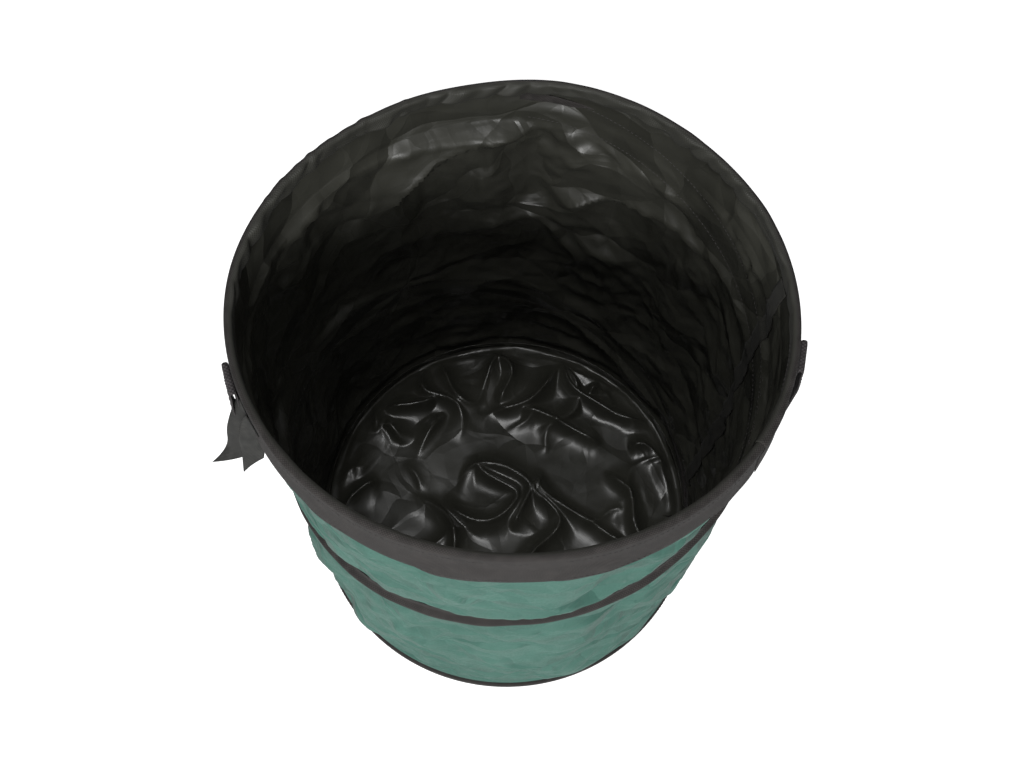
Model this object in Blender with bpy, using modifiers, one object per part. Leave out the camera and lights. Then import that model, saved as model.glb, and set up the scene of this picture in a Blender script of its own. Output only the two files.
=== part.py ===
"""Pop up leaf bag: a sewn fabric drum that one spiral of spring wire holds open.

Metres, +Z up. The origin is the centre of the base, on the ground. +X points to the
right-hand handle and -Y to the front. Azimuths count in degrees, anticlockwise from
+X seen from above. Every ring has the same number of sides, with its corners on the
same azimuths, so that the gaps between neighbours stay even all the way round.
"""

import math

import bmesh
import bpy
import numpy as np

# Fabric drum
WALL_RADIUS = 0.2226
BAG_HEIGHT = 0.483
FABRIC = 0.0010
CLEARANCE = 0.0003

# How the wall hangs between what holds it: its swell, and long folds that run down to the right
WALL_SWELL = 0.0080
SWELL_REACH = 0.022
FOLD_DEPTH = 0.0034
FOLDS = (
    {"turns": 7, "pitch": 0.190, "start": 20, "depth_share": 0.45},
    {"turns": -5, "pitch": 0.150, "start": 200, "depth_share": 0.30},
    {"turns": 11, "pitch": 0.260, "start": 110, "depth_share": 0.25},
)
SLEEVE_HOLD = 0.004
SEAM_HOLD_FACETS = 4

# How finely the rings and the wall are divided
FACETS = 60
WALL_ROWS = 20

# Spring wire: a flat turn in the rim, the fall down the wall, a flat turn at the base
WIRE_RADIUS = 0.0018
COIL_GAP = 0.0005
WIRE_START_FACET = 22
FALL_FACETS = 86
FALL_EASE_SHARE = 0.05
FALL_BOW_SHARE = 0.08
FALL_LEAN_SHARE = 0.065
FALL_LEAN_AZIMUTH = -55

# Plastic caps on the two ends of the wire
CAP_WALL = 0.0005
CAP_LENGTH = 0.017
CAP_CHAMFER = 0.0008
CAP_SIDES = 12

# Folded tapes that bind the rim and the base
BINDING_TAPE = 0.0011
RIM_DEPTH = 0.045
RIM_INNER_DEPTH = 0.018
RIM_FOLD_RADIUS = 0.0030
RIM_FLARE = 0.0025
RIM_FLARE_DEPTH = 0.020
BASE_DEPTH = 0.030
BASE_FOLD_RADIUS = 0.0020

# Tape sleeve that holds the wire to the wall
SLEEVE_TAPE = 0.0010
SLEEVE_WIDTH = 0.034
SLEEVE_RIDGE_WIDTH = 0.0046
SLEEVE_WELT_WIDTH = 0.0130
SLEEVE_TUCK = 0.010
SLEEVE_BASE_TUCK = 0.004

# Floor disc, with its edge turned up inside the wall
FLOOR_UPTURN = 0.012
FLOOR_FOLD_RADIUS = 0.0030

# Tape along the inside of the wall's side seam
SEAM_TAPE = 0.0008
SEAM_TAPE_WIDTH = 0.018
SEAM_FACET = 0

# Carrying handles: closed loops of webbing that hang from the rim
WEBBING = 0.0016
WEBBING_WIDTH = 0.030
HANDLE_DROP = 0.112
HANDLE_TOP_RADIUS = 0.0031
HANDLE_FOOT_RADIUS = 0.0053
HANDLE_BEND_STEPS = 8
HANDLE_BELOW_RIM = 0.009
HANDLE_AZIMUTHS = {"handle_right": -12.5, "handle_left": -161.5}

# Closure ties: two ribbon tails, sewn to the rim beside the left handle
RIBBON = 0.0012
RIBBON_WIDTH = 0.020
TIE_BELOW_RIM = 0.019
TIES = {
    "tie_tail_outer": {"azimuth": -154.9, "lift": 28, "long_edge": 0.100, "short_edge": 0.068},
    "tie_tail_inner": {"azimuth": -149.7, "lift": 17, "long_edge": 0.078, "short_edge": 0.052},
}

# Radii of the layers outside the wall, from the wall outwards
CAP_RADIUS = WIRE_RADIUS + CLEARANCE + CAP_WALL
WIRE_PATH_RADIUS = WALL_RADIUS + CLEARANCE + CAP_RADIUS
SLEEVE_EDGE_RADIUS = WALL_RADIUS + CLEARANCE + SLEEVE_TAPE
SLEEVE_RIDGE_RADIUS = WIRE_PATH_RADIUS + WIRE_RADIUS + CLEARANCE + SLEEVE_TAPE
BINDING_RADIUS = SLEEVE_RIDGE_RADIUS + CLEARANCE + BINDING_TAPE

# Radii of the layers inside the wall
WALL_INNER_RADIUS = WALL_RADIUS - FABRIC
LINING_RADIUS = WALL_INNER_RADIUS - CLEARANCE

# Heights
WALL_FOOT_Z = BINDING_TAPE + CLEARANCE
WALL_TOP_Z = BAG_HEIGHT - RIM_FOLD_RADIUS
RIM_EDGE_Z = BAG_HEIGHT - RIM_DEPTH
RIM_WIRE_Z = BAG_HEIGHT - BINDING_TAPE - CLEARANCE - CAP_RADIUS
BASE_WIRE_Z = WALL_FOOT_Z + CAP_RADIUS
FLAT_TURN_FALL = CAP_RADIUS + WIRE_RADIUS + COIL_GAP
FALL_TOP_Z = RIM_WIRE_Z - FLAT_TURN_FALL
FALL_FOOT_Z = BASE_WIRE_Z + FLAT_TURN_FALL
SLEEVE_TOP_Z = RIM_EDGE_Z + SLEEVE_TUCK
SLEEVE_FOOT_Z = BASE_DEPTH - SLEEVE_BASE_TUCK
WALL_ROW_RISE = (WALL_TOP_Z - WALL_FOOT_Z) / WALL_ROWS

FACET_ANGLE = 360 / FACETS

GREEN = (0.114, 0.283, 0.205)
COATED_BLACK = (0.012, 0.013, 0.011)
TAPE_GREY = (0.070, 0.062, 0.062)
WEBBING_GREY = (0.050, 0.046, 0.048)
SPRING_STEEL = (0.42, 0.42, 0.44)
CAP_BLACK = (0.020, 0.020, 0.022)


def clear_scene():
    """Removes every object that the file opened with."""
    for item in list(bpy.data.objects):
        bpy.data.objects.remove(item)


def make_collection(name):
    """A collection for the parts, linked to the scene."""
    group = bpy.data.collections.new(name)
    bpy.context.scene.collection.children.link(group)
    return group


def make_material(name, colour, roughness, metallic=0.0):
    """A Principled material with one colour."""
    material = bpy.data.materials.new(name)
    material.use_nodes = True
    shader = material.node_tree.nodes["Principled BSDF"]
    shader.inputs["Base Color"].default_value = (*colour, 1)
    shader.inputs["Roughness"].default_value = roughness
    shader.inputs["Metallic"].default_value = metallic
    material.diffuse_color = (*colour, 1)
    return material


def add_part(name, data, material):
    """Names an object for its sub-part, gives it its material and puts it in the bag's collection."""
    part = bpy.data.objects.new(name, data)
    data.materials.append(material)
    bag.objects.link(part)
    return part


def add_thickness(part, thickness):
    """Gives an open surface its thickness, behind the face that its normals leave."""
    solidify = part.modifiers.new("thickness", "SOLIDIFY")
    solidify.thickness = thickness
    solidify.offset = -1
    solidify.use_even_offset = True


def on_ring(radius, azimuth, height):
    """The point at a radius, an azimuth in degrees and a height."""
    angle = math.radians(azimuth)
    return (radius * math.cos(angle), radius * math.sin(angle), height)


def turned_shell(name, profile, thickness, sides, material):
    """Turns a profile of (radius, height) points, which runs down its outer side, into a shell."""
    mesh = bpy.data.meshes.new(name)
    points = [(radius, 0, height) for radius, height in profile]
    mesh.from_pydata(points, [(step, step + 1) for step in range(len(points) - 1)], [])
    shell = add_part(name, mesh, material)
    screw = shell.modifiers.new("turn", "SCREW")
    screw.steps = sides
    screw.render_steps = sides
    screw.use_merge_vertices = True
    screw.merge_threshold = CLEARANCE / FACETS
    screw.use_smooth_shade = True
    add_thickness(shell, thickness)
    return shell


def sewn_sheet(name, columns, rows, place, thickness, material, closed=False):
    """Lays a flat grid of cloth where place(column, row) says, and gives it its thickness.

    Columns count anticlockwise and rows count upwards, so the outer face looks out.
    """
    sheet = bmesh.new()
    bmesh.ops.create_grid(sheet, x_segments=columns, y_segments=rows, size=1)
    for corner in sheet.verts:
        column = round((corner.co.x + 1) / 2 * columns)
        row = round((corner.co.y + 1) / 2 * rows)
        corner.co = place(column, row)
    if closed:
        bmesh.ops.remove_doubles(sheet, verts=sheet.verts, dist=CLEARANCE / FACETS)
    mesh = bpy.data.meshes.new(name)
    sheet.to_mesh(mesh)
    sheet.free()
    mesh.shade_smooth()
    part = add_part(name, mesh, material)
    add_thickness(part, thickness)
    return part


def eased(way):
    """The way along the fall, starting and ending level: its speed ramps up and down evenly."""
    grid = np.linspace(0, 1, FALL_FACETS * FACETS + 1)
    speed = np.clip(np.minimum(grid, 1 - grid) / FALL_EASE_SHARE, 0, 1)
    covered = np.concatenate([[0], np.cumsum((speed[1:] + speed[:-1]) / 2)])
    return np.interp(way, grid, covered / covered[-1])


def wire_stations():
    """Azimuths and heights of the wire's points, from its end in the rim to its end at the base.

    The fall is even but for a bow, which keeps it high for longer, and a lean of each turn
    towards one azimuth, as the photographed bag stands. The coil winds clockwise as it falls.
    """
    azimuths = FACET_ANGLE * (WIRE_START_FACET - np.arange(2 * FACETS + FALL_FACETS + 1))
    flat = np.linspace(0, FLAT_TURN_FALL, FACETS + 1)
    way = eased(np.linspace(0, 1, FALL_FACETS + 1))
    held = np.sin(np.pi * way)
    lean = np.cos(np.radians(azimuths[FACETS:FACETS + FALL_FACETS + 1] - FALL_LEAN_AZIMUTH))
    drop = way - FALL_BOW_SHARE * held + FALL_LEAN_SHARE * held * lean
    fall = FALL_TOP_Z - (FALL_TOP_Z - FALL_FOOT_Z) * drop
    heights = np.concatenate([RIM_WIRE_Z - flat, fall[1:], FALL_FOOT_Z - flat[1:]])
    return azimuths, heights


def wire_points():
    """The wire's points in space."""
    return np.array([on_ring(WIRE_PATH_RADIUS, azimuth, height) for azimuth, height in zip(*wire_stations())])


def least_coil_gap(points):
    """Clear distance between one turn of the wire and the rest, measured on points and half-way points."""
    dense = np.empty((2 * len(points) - 1, 3))
    dense[0::2] = points
    dense[1::2] = (points[1:] + points[:-1]) / 2
    least = math.inf
    for step in range(len(dense) - FACETS):
        reach = np.linalg.norm(dense[step + FACETS:] - dense[step], axis=1)
        least = min(least, reach.min())
    return least - 2 * WIRE_RADIUS


def sleeve_stations():
    """The stretch of the wire's fall that the sleeve covers, as azimuths and heights."""
    azimuths, heights = wire_stations()
    covered = (heights <= SLEEVE_TOP_Z) & (heights >= SLEEVE_FOOT_Z)
    return azimuths[covered], heights[covered]


def held_bands(azimuth):
    """Heights between which the wall is held in at one azimuth: (low, high) of each band.

    A sleeve holds the wall for more than one row beyond its edges, so that no row swells into it.
    """
    azimuths, heights = sleeve_stations()
    turns = np.abs((azimuths - azimuth + 180) % 360 - 180) < FACET_ANGLE / 2
    half = SLEEVE_WIDTH / 2 + SLEEVE_HOLD + WALL_ROW_RISE
    sleeves = [(height - half, height + half) for height in heights[turns]]
    return [(0, BASE_DEPTH), (RIM_EDGE_Z, BAG_HEIGHT)] + sleeves


def folded(azimuth, height):
    """Depth of the long folds at a place on the wall, as a share, dying away towards the side seam."""
    from_seam = abs((azimuth - SEAM_FACET * FACET_ANGLE + 180) % 360 - 180) / FACET_ANGLE
    free = min(1, max(0, from_seam - 1) / SEAM_HOLD_FACETS)
    total = 0
    for fold in FOLDS:
        angle = fold["turns"] * azimuth + 360 * height / fold["pitch"] + fold["start"]
        total += fold["depth_share"] * math.cos(math.radians(angle))
    return free * total


def wall_radius(azimuth, height):
    """Outer radius of the wall: held in by the wire and the seams, and swelling between them.

    Whatever holds one edge of the side seam's facet holds the other, so that the seam tape lies flat.
    """
    bands = held_bands(azimuth)
    left = SEAM_FACET * FACET_ANGLE
    right = left + FACET_ANGLE
    if left <= azimuth <= right:
        bands = held_bands(left) + held_bands(right)
    reach = min(max(low - height, height - high, 0) for low, high in bands)
    free = 1 - math.exp(-reach / SWELL_REACH)
    return WALL_RADIUS + free * (WALL_SWELL + FOLD_DEPTH * folded(azimuth, height))


def wall_height(row):
    """Height of one row of the wall's corners."""
    return WALL_FOOT_Z + WALL_ROW_RISE * row


def make_wall_panel():
    """The green wall: one panel rolled into a drum, folded and swelling between what holds it."""
    def place(column, row):
        azimuth = column % FACETS * FACET_ANGLE
        height = wall_height(row)
        return on_ring(wall_radius(azimuth, height), azimuth, height)

    return sewn_sheet("wall_panel", FACETS, WALL_ROWS, place, FABRIC, green_fabric, closed=True)


def make_side_seam_tape():
    """The tape over the side seam, on the flat of one facet of the wall's inner face."""
    low = FLOOR_UPTURN + CLEARANCE
    high = BAG_HEIGHT - RIM_INNER_DEPTH - CLEARANCE
    heights = [low] + [wall_height(row) for row in range(WALL_ROWS) if low < wall_height(row) < high] + [high]
    left = SEAM_FACET * FACET_ANGLE
    right = left + FACET_ANGLE
    facet_width = 2 * WALL_INNER_RADIUS * math.sin(math.radians(FACET_ANGLE / 2))
    edge_share = (1 - SEAM_TAPE_WIDTH / facet_width) / 2

    def place(column, row):
        height = heights[row]
        depth = FABRIC + CLEARANCE
        start = np.array(on_ring(wall_radius(left, height) - depth, left, height))
        end = np.array(on_ring(wall_radius(right, height) - depth, right, height))
        across = edge_share + (1 - 2 * edge_share) * column
        return start + (end - start) * across

    return sewn_sheet("side_seam_tape", 1, len(heights) - 1, place, SEAM_TAPE, tape_cloth)


def make_floor_panel():
    """The floor disc, its edge turned up as a seam allowance inside the foot of the wall."""
    fold = FLOOR_FOLD_RADIUS
    profile = [(LINING_RADIUS, FLOOR_UPTURN)]
    profile += fold_points(LINING_RADIUS - fold, fold, fold, 0, -90)
    profile += [(0, 0)]
    return turned_shell("floor_panel", profile, FABRIC, FACETS, black_fabric)


def fold_points(centre_radius, centre_height, fold_radius, start, end):
    """Three points round a fold, from the start angle to the end angle in degrees."""
    points = []
    for angle in (start, (start + end) / 2, end):
        turn = math.radians(angle)
        points.append((centre_radius + fold_radius * math.cos(turn), centre_height + fold_radius * math.sin(turn)))
    return points


def make_rim_binding():
    """The rim tape: up the inside, over the wire and down the outside to a lower edge that flares."""
    inner = LINING_RADIUS - BINDING_TAPE
    fold = RIM_FOLD_RADIUS
    profile = [(inner, BAG_HEIGHT - RIM_INNER_DEPTH)]
    profile += fold_points(inner + fold, BAG_HEIGHT - fold, fold, 180, 90)
    profile += fold_points(BINDING_RADIUS - fold, BAG_HEIGHT - fold, fold, 90, 0)
    profile += [(BINDING_RADIUS, BAG_HEIGHT - RIM_FLARE_DEPTH), (BINDING_RADIUS + RIM_FLARE, RIM_EDGE_Z)]
    return turned_shell("rim_binding", profile, BINDING_TAPE, FACETS, tape_cloth)


def make_base_binding():
    """The base tape: down the outside over the last turn of wire and folded under the wall."""
    fold = BASE_FOLD_RADIUS
    profile = [(BINDING_RADIUS, BASE_DEPTH)]
    profile += fold_points(BINDING_RADIUS - fold, fold, fold, 0, -90)
    profile += [(WALL_INNER_RADIUS, 0)]
    return turned_shell("base_binding", profile, BINDING_TAPE, FACETS, tape_cloth)


def make_spring_wire():
    """The one unbroken wire: flat turn, fall and flat turn."""
    curve = bpy.data.curves.new("spring_wire", "CURVE")
    curve.dimensions = "3D"
    curve.bevel_depth = WIRE_RADIUS
    curve.bevel_resolution = 2
    curve.use_fill_caps = True
    curve.twist_mode = "Z_UP"
    points = wire_points()
    spline = curve.splines.new("POLY")
    spline.points.add(len(points) - 1)
    for point, place in zip(spline.points, points):
        point.co = (*place, 1)
    return add_part("spring_wire", curve, spring_steel)


def make_wire_cap(name, end, neighbour):
    """A moulded cap pushed over one end of the wire, in line with its last straight stretch."""
    crown = CLEARANCE + CAP_WALL
    profile = [
        (0, crown),
        (CAP_RADIUS - CAP_CHAMFER, crown),
        (CAP_RADIUS, crown - CAP_CHAMFER),
        (CAP_RADIUS, crown - CAP_LENGTH),
    ]
    cap = turned_shell(name, profile, CAP_WALL, CAP_SIDES, cap_plastic)
    way = np.array(end) - np.array(neighbour)
    bearing = math.atan2(way[1], way[0])
    slope = math.atan2(way[2], math.hypot(way[0], way[1]))
    cap.location = end
    cap.rotation_euler = (0, math.pi / 2 - slope, bearing)
    return cap


def make_spiral_sleeve():
    """The tape sleeve over the falling wire: flat at its sewn edges, raised over the wire."""
    azimuths, heights = sleeve_stations()
    section = [
        (-SLEEVE_WIDTH / 2, SLEEVE_EDGE_RADIUS),
        (-SLEEVE_WELT_WIDTH / 2, SLEEVE_EDGE_RADIUS),
        (-SLEEVE_RIDGE_WIDTH / 2, SLEEVE_RIDGE_RADIUS),
        (SLEEVE_RIDGE_WIDTH / 2, SLEEVE_RIDGE_RADIUS),
        (SLEEVE_WELT_WIDTH / 2, SLEEVE_EDGE_RADIUS),
        (SLEEVE_WIDTH / 2, SLEEVE_EDGE_RADIUS),
    ]

    def place(column, row):
        station = len(azimuths) - 1 - column
        rise, radius = section[row]
        return on_ring(radius, azimuths[station], heights[station] + rise)

    return sewn_sheet("spiral_sleeve", len(azimuths) - 1, len(section) - 1, place, SLEEVE_TAPE, tape_cloth)


def loop_outline(top_radius, foot_radius):
    """A belt round two bends, one above the other, whose inner run hangs straight down.

    The hinge, at the top bend's centre, is the zero point. x is outwards and y is up.
    """
    foot_x = HANDLE_FOOT_RADIUS - HANDLE_TOP_RADIUS
    foot_y = HANDLE_FOOT_RADIUS - (HANDLE_DROP - HANDLE_TOP_RADIUS)
    spread = 2 * math.atan2(foot_x, -foot_y)
    points = []
    for centre_x, centre_y, radius, start, end in (
        (0, 0, top_radius, math.pi, spread),
        (foot_x, foot_y, foot_radius, spread, -math.pi),
    ):
        for step in range(HANDLE_BEND_STEPS + 1):
            angle = start + (end - start) * step / HANDLE_BEND_STEPS
            points.append((centre_x + radius * math.cos(angle), centre_y + radius * math.sin(angle)))
    return points


def flat_outline_part(name, outlines, half_depth, material):
    """Fills flat outlines, the later ones as holes in the first, to a depth each side of their plane."""
    curve = bpy.data.curves.new(name, "CURVE")
    curve.dimensions = "2D"
    curve.fill_mode = "BOTH"
    curve.extrude = half_depth
    for outline in outlines:
        spline = curve.splines.new("POLY")
        spline.points.add(len(outline) - 1)
        spline.use_cyclic_u = True
        for point, (x, y) in zip(spline.points, outline):
            point.co = (x, y, 0, 1)
    return add_part(name, curve, material)


def make_handle(name, azimuth):
    """A webbing loop on the outside of the rim, hinged where it is sewn on.

    It leans out just enough to hang clear of the flared edge of the rim tape.
    """
    outer = loop_outline(HANDLE_TOP_RADIUS, HANDLE_FOOT_RADIUS)
    inner = loop_outline(HANDLE_TOP_RADIUS - WEBBING, HANDLE_FOOT_RADIUS - WEBBING)
    handle = flat_outline_part(name, [outer, inner], WEBBING_WIDTH / 2, webbing)
    lean = math.atan2(RIM_FLARE, RIM_DEPTH - HANDLE_BELOW_RIM)
    hinge_radius = BINDING_RADIUS + CLEARANCE + HANDLE_TOP_RADIUS
    handle.location = on_ring(hinge_radius, azimuth, BAG_HEIGHT - HANDLE_BELOW_RIM)
    handle.rotation_euler = (math.pi / 2, -lean, math.radians(azimuth))
    return handle


def make_tie_tail(name, azimuth, lift, long_edge, short_edge):
    """A ribbon tail with a slanted end, hinged at its sewn edge and lifted off the wall."""
    half = RIBBON_WIDTH / 2
    outline = [(-half, 0), (half, 0), (half, -short_edge), (-half, -long_edge)]
    tail = flat_outline_part(name, [outline], RIBBON / 2, webbing)
    hinge_radius = BINDING_RADIUS + CLEARANCE + RIBBON / 2
    tail.location = on_ring(hinge_radius, azimuth, BAG_HEIGHT - TIE_BELOW_RIM)
    tail.rotation_euler = (math.radians(90 - lift), 0, math.radians(azimuth + 90))
    return tail


clear_scene()
bag = make_collection("pop_up_leaf_bag")

green_fabric = make_material("green_fabric", GREEN, 0.62)
black_fabric = make_material("black_coated_fabric", COATED_BLACK, 0.30)
tape_cloth = make_material("tape_cloth", TAPE_GREY, 0.80)
webbing = make_material("webbing", WEBBING_GREY, 0.75)
spring_steel = make_material("spring_steel", SPRING_STEEL, 0.35, 1.0)
cap_plastic = make_material("cap_plastic", CAP_BLACK, 0.45)

make_wall_panel()
make_side_seam_tape()
make_floor_panel()
make_base_binding()
make_rim_binding()
make_spring_wire()
make_spiral_sleeve()

route = wire_points()
make_wire_cap("rim_wire_cap", route[0], route[1])
make_wire_cap("base_wire_cap", route[-1], route[-2])

for handle_name, handle_azimuth in HANDLE_AZIMUTHS.items():
    make_handle(handle_name, handle_azimuth)
for tie_name, tie in TIES.items():
    make_tie_tail(tie_name, **tie)

print(f"least gap between turns of the wire: {least_coil_gap(route) * 1000:.2f} mm")
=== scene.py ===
"""Looks of the pop up leaf bag: crinkled coated cloth, woven tapes, webbing and thread.

Metres, +Z up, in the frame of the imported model. A cloth piece is a surface over two
parameters: the way round, as an azimuth in radians from +X, and the height.
"""

import math

import bpy
import numpy as np
from mathutils import Matrix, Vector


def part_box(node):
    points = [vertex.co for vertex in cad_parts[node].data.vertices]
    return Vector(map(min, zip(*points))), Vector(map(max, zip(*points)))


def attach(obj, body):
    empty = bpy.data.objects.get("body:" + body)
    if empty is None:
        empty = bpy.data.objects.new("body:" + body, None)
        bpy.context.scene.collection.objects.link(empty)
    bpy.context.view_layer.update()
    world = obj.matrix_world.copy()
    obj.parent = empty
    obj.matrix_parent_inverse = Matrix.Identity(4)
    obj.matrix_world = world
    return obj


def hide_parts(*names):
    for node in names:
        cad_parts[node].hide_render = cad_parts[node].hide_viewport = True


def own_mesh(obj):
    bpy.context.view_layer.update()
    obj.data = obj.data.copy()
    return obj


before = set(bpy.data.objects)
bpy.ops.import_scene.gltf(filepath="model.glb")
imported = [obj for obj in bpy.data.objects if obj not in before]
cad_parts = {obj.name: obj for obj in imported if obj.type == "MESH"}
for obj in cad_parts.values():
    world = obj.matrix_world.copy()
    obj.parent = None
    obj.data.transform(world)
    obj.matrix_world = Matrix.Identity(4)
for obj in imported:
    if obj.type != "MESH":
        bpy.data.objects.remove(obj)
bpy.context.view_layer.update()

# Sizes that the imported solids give
RIM_LOW, RIM_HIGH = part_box("rim_binding")
BASE_LOW, BASE_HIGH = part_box("base_binding")
WALL_LOW, WALL_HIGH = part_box("wall_panel")
FLOOR_LOW, FLOOR_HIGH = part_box("floor_panel")
SEAM_LOW, SEAM_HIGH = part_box("side_seam_tape")
BAG_HEIGHT = RIM_HIGH.z
RIM_EDGE_Z = RIM_LOW.z
WALL_FOOT_Z = WALL_LOW.z
WALL_TOP_Z = WALL_HIGH.z
BINDING_RADIUS = BASE_HIGH.x
FLOOR_UPTURN = FLOOR_HIGH.z

# Cloth and tape
WALL_RADIUS = BINDING_RADIUS - 0.0074
FABRIC = 0.0007
TAPE = 0.0006
CLEARANCE = 0.0003
RIM_INNER_DEPTH = 0.012
RIM_FLARE = 0.0025
RIM_FLARE_DEPTH = 0.020
RIM_FLARE_REACH = 0.025
RIM_TAPE_START = -37
RIM_TAPE_OVERLAP = 7
BASE_TAPE_TOP = 0.012
BASE_TAPE_FOLD = 0.0020
SEAM_AZIMUTH = 3
SEAM_TAPE_WIDTH = 0.018
FLOOR_FOLD_RADIUS = 0.0030

# The wall between what holds it: a swell and long slanting folds, as in the solids
WALL_SWELL = 0.0080
SWELL_REACH = 0.026
FOLD_DEPTH = 0.0034
FOLDS = (
    {"turns": 7, "pitch": 0.190, "start": 20, "depth_share": 0.45},
    {"turns": -5, "pitch": 0.150, "start": 200, "depth_share": 0.30},
    {"turns": 11, "pitch": 0.260, "start": 110, "depth_share": 0.25},
)
SAG = 0.0042
SAG_HEIGHT = 0.0065
BASE_SAG = 0.0054
HEM_Z = 0.452
HEM_HEIGHT = 0.016
HEM_SHIFT = 0.0020
RIM_INNER_RADIUS = WALL_RADIUS + HEM_SHIFT - FABRIC - TAPE - CLEARANCE
WIRE_GROOVE = 0.0009
WIRE_GROOVE_HEIGHT = 0.0030

# The largest folds of the wall: from and to (azimuth in degrees, height), how far the crest stands
# inwards, and how wide the fold falls off above and below its crest
LARGE_FOLDS = (
    ((124, 0.360), (84, 0.428), 0.0190, 0.050, 0.005),
    ((75, 0.317), (36, 0.364), 0.0120, 0.035, 0.005),
    ((88, 0.308), (64, 0.160), 0.0050, 0.012, 0.006),
    ((55, 0.101), (35, 0.074), 0.0075, 0.010, 0.004),
    ((168, 0.442), (135, 0.388), 0.0080, 0.022, 0.005),
    ((182, 0.420), (152, 0.385), 0.0070, 0.018, 0.006),
    ((140, 0.276), (100, 0.261), 0.0060, 0.020, 0.006),
    ((102, 0.262), (68, 0.290), 0.0060, 0.020, 0.006),
    ((37, 0.360), (15, 0.366), 0.0060, 0.022, 0.006),
    ((139, 0.454), (116, 0.419), 0.0060, 0.014, 0.005),
    ((128, 0.437), (98, 0.444), 0.0055, 0.012, 0.005),
    ((20, 0.330), (-12, 0.240), 0.0070, 0.020, 0.007),
    ((238, 0.418), (262, 0.352), -0.0080, 0.010, 0.018),
    ((245, 0.400), (268, 0.330), 0.0060, 0.012, 0.010),
    ((252, 0.225), (282, 0.180), 0.0060, 0.015, 0.008),
    ((236, 0.200), (258, 0.110), -0.0060, 0.010, 0.015),
    ((290, 0.215), (310, 0.160), 0.0055, 0.015, 0.008),
    ((288, 0.400), (318, 0.385), 0.0050, 0.015, 0.007),
    ((205, 0.350), (225, 0.250), 0.0070, 0.018, 0.008),
    ((195, 0.180), (215, 0.110), -0.0060, 0.012, 0.016),
)

# Spring wire and its sleeve
WIRE_RADIUS = 0.0018
WIRE_PATH_RADIUS = WALL_RADIUS + 0.0029
SLEEVE_RIDGE_RADIUS = WALL_RADIUS + 0.0060
SLEEVE_EDGE_RADIUS = WALL_RADIUS + 0.0011
SLEEVE_WIDTH = 0.034
SLEEVE_RIDGE_HALF = 0.0046
SLEEVE_SEAM_RISE = 0.0145
SLEEVE_TOP_Z = RIM_EDGE_Z + 0.019
SLEEVE_FOOT_Z = 0.0125
FLAT_TURN_FALL = 0.0049
RIM_WIRE_Z = BAG_HEIGHT - 0.0040
BASE_WIRE_Z = 0.0040
WIRE_START_DEGREES = 132
FALL_DEGREES = 516
WHOLE_WAY = 720 + FALL_DEGREES
FALL_EASE_SHARE = 0.05
FALL_BOW_SHARE = 0.08
FALL_LEAN_SHARE = 0.065
FALL_LEAN_AZIMUTH = -55
CAP_DEGREES = 4.4
CAP_RADIUS = 0.0021

# Handles and tie tails: azimuths in degrees and lengths
WEBBING = 0.0016
WEBBING_WIDTH = 0.030
HANDLE_TOP_Z = BAG_HEIGHT - 0.009
HANDLE_RADIUS = BINDING_RADIUS + 0.0034
HANDLE_LEAN = 0.0034
HANDLE_LEAN_DROP = 0.030
HANDLE_DROP = 0.112
HANDLE_TOP_BEND = 0.0031
HANDLE_FOOT_BEND = 0.0034
HANDLE_AZIMUTHS = {"handle_right": -14.5, "handle_left": -159.5}
RIBBON = 0.0009
RIBBON_WIDTH = 0.020
TIE_TOP_Z = BAG_HEIGHT - 0.019
TIE_STEPS = 60
TIES = {
    "tie_tail_outer": {
        "azimuth": -154.9, "long": 0.100, "short": 0.068,
        "lifts": (10, 22, 19, 68), "twists": (0, -60, -20, -20), "sways": (-3, 6),
    },
    "tie_tail_inner": {
        "azimuth": -149.7, "long": 0.078, "short": 0.052,
        "lifts": (8, 10, 16, 18), "twists": (0, -80, -36, -35), "sways": (-18, 22),
    },
}

# How the bag folds down: the slide's travel, and what is left of the height of the wall, which ends just
# above the rim tape's lower edge, and of handles and ties, which lie bunched by the rim
TRAVEL = 0.405
FLAT_TUCK = 0.003
COLLAPSED_SHARE = (RIM_EDGE_Z + FLAT_TUCK - TRAVEL) / WALL_TOP_Z
LOOSE_SHARE = 0.45

# The rim's distance from a true circle, in metres, by azimuth in degrees
RIM_WOBBLE = {
    0: 0.0030, 20: 0.0028, 40: 0.0015, 57: 0.0030, 72: 0.0044, 86: 0.0022, 100: -0.0034, 114: -0.0028,
    130: -0.0050, 145: -0.0022, 160: 0.0008, 176: 0.0034, 200: 0.0024, 212: 0.0012, 240: 0.0, 270: -0.0010,
    300: 0.0020, 325: 0.0046, 340: 0.0036,
}

# Grids: the cloth settles on the coarse ones and is drawn out to the fine ones
WALL_COLUMNS, WALL_ROWS = 140, 59
FINER_ROUND, FINER_UP = 3, 2
FLOOR_CELLS, FINER_FLOOR = 55, 4

# How much larger than they hang the wall and the floor are cut: slack, shares, and a twist in radians
CUT_SLACK = 0.005
CUT_WIDER_SHARE = 1.02
CUT_TALLER_SHARE = 1.04
CUT_TWIST, CUT_TWIST_HEIGHT = 0.08, 0.48
FLOOR_CUT_SHARE = 1.08

# Thread
STITCH_LENGTH = 0.0034
STITCH_PITCH = 0.0046
THREAD_RADIUS = 0.00028

# Camera, fitted to the rim's and the base's outlines in the photograph
PICTURE_WIDTH = 1024
CAMERA_PLACE = (-0.0140, -0.4250, 1.1190)
CAMERA_PITCH = 62.18
CAMERA_YAW = 2.12
CAMERA_ROLL = 2.21
CAMERA_FOCUS_PIXELS = 938.4
SENSOR_WIDTH = 36

TAU = 2 * math.pi
GIRTH = TAU * WALL_RADIUS
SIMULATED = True


def smooth(x, start, end):
    """Rises smoothly from 0 at start to 1 at end."""
    t = np.clip((x - start) / (end - start), 0, 1)
    return t * t * (3 - 2 * t)


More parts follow.
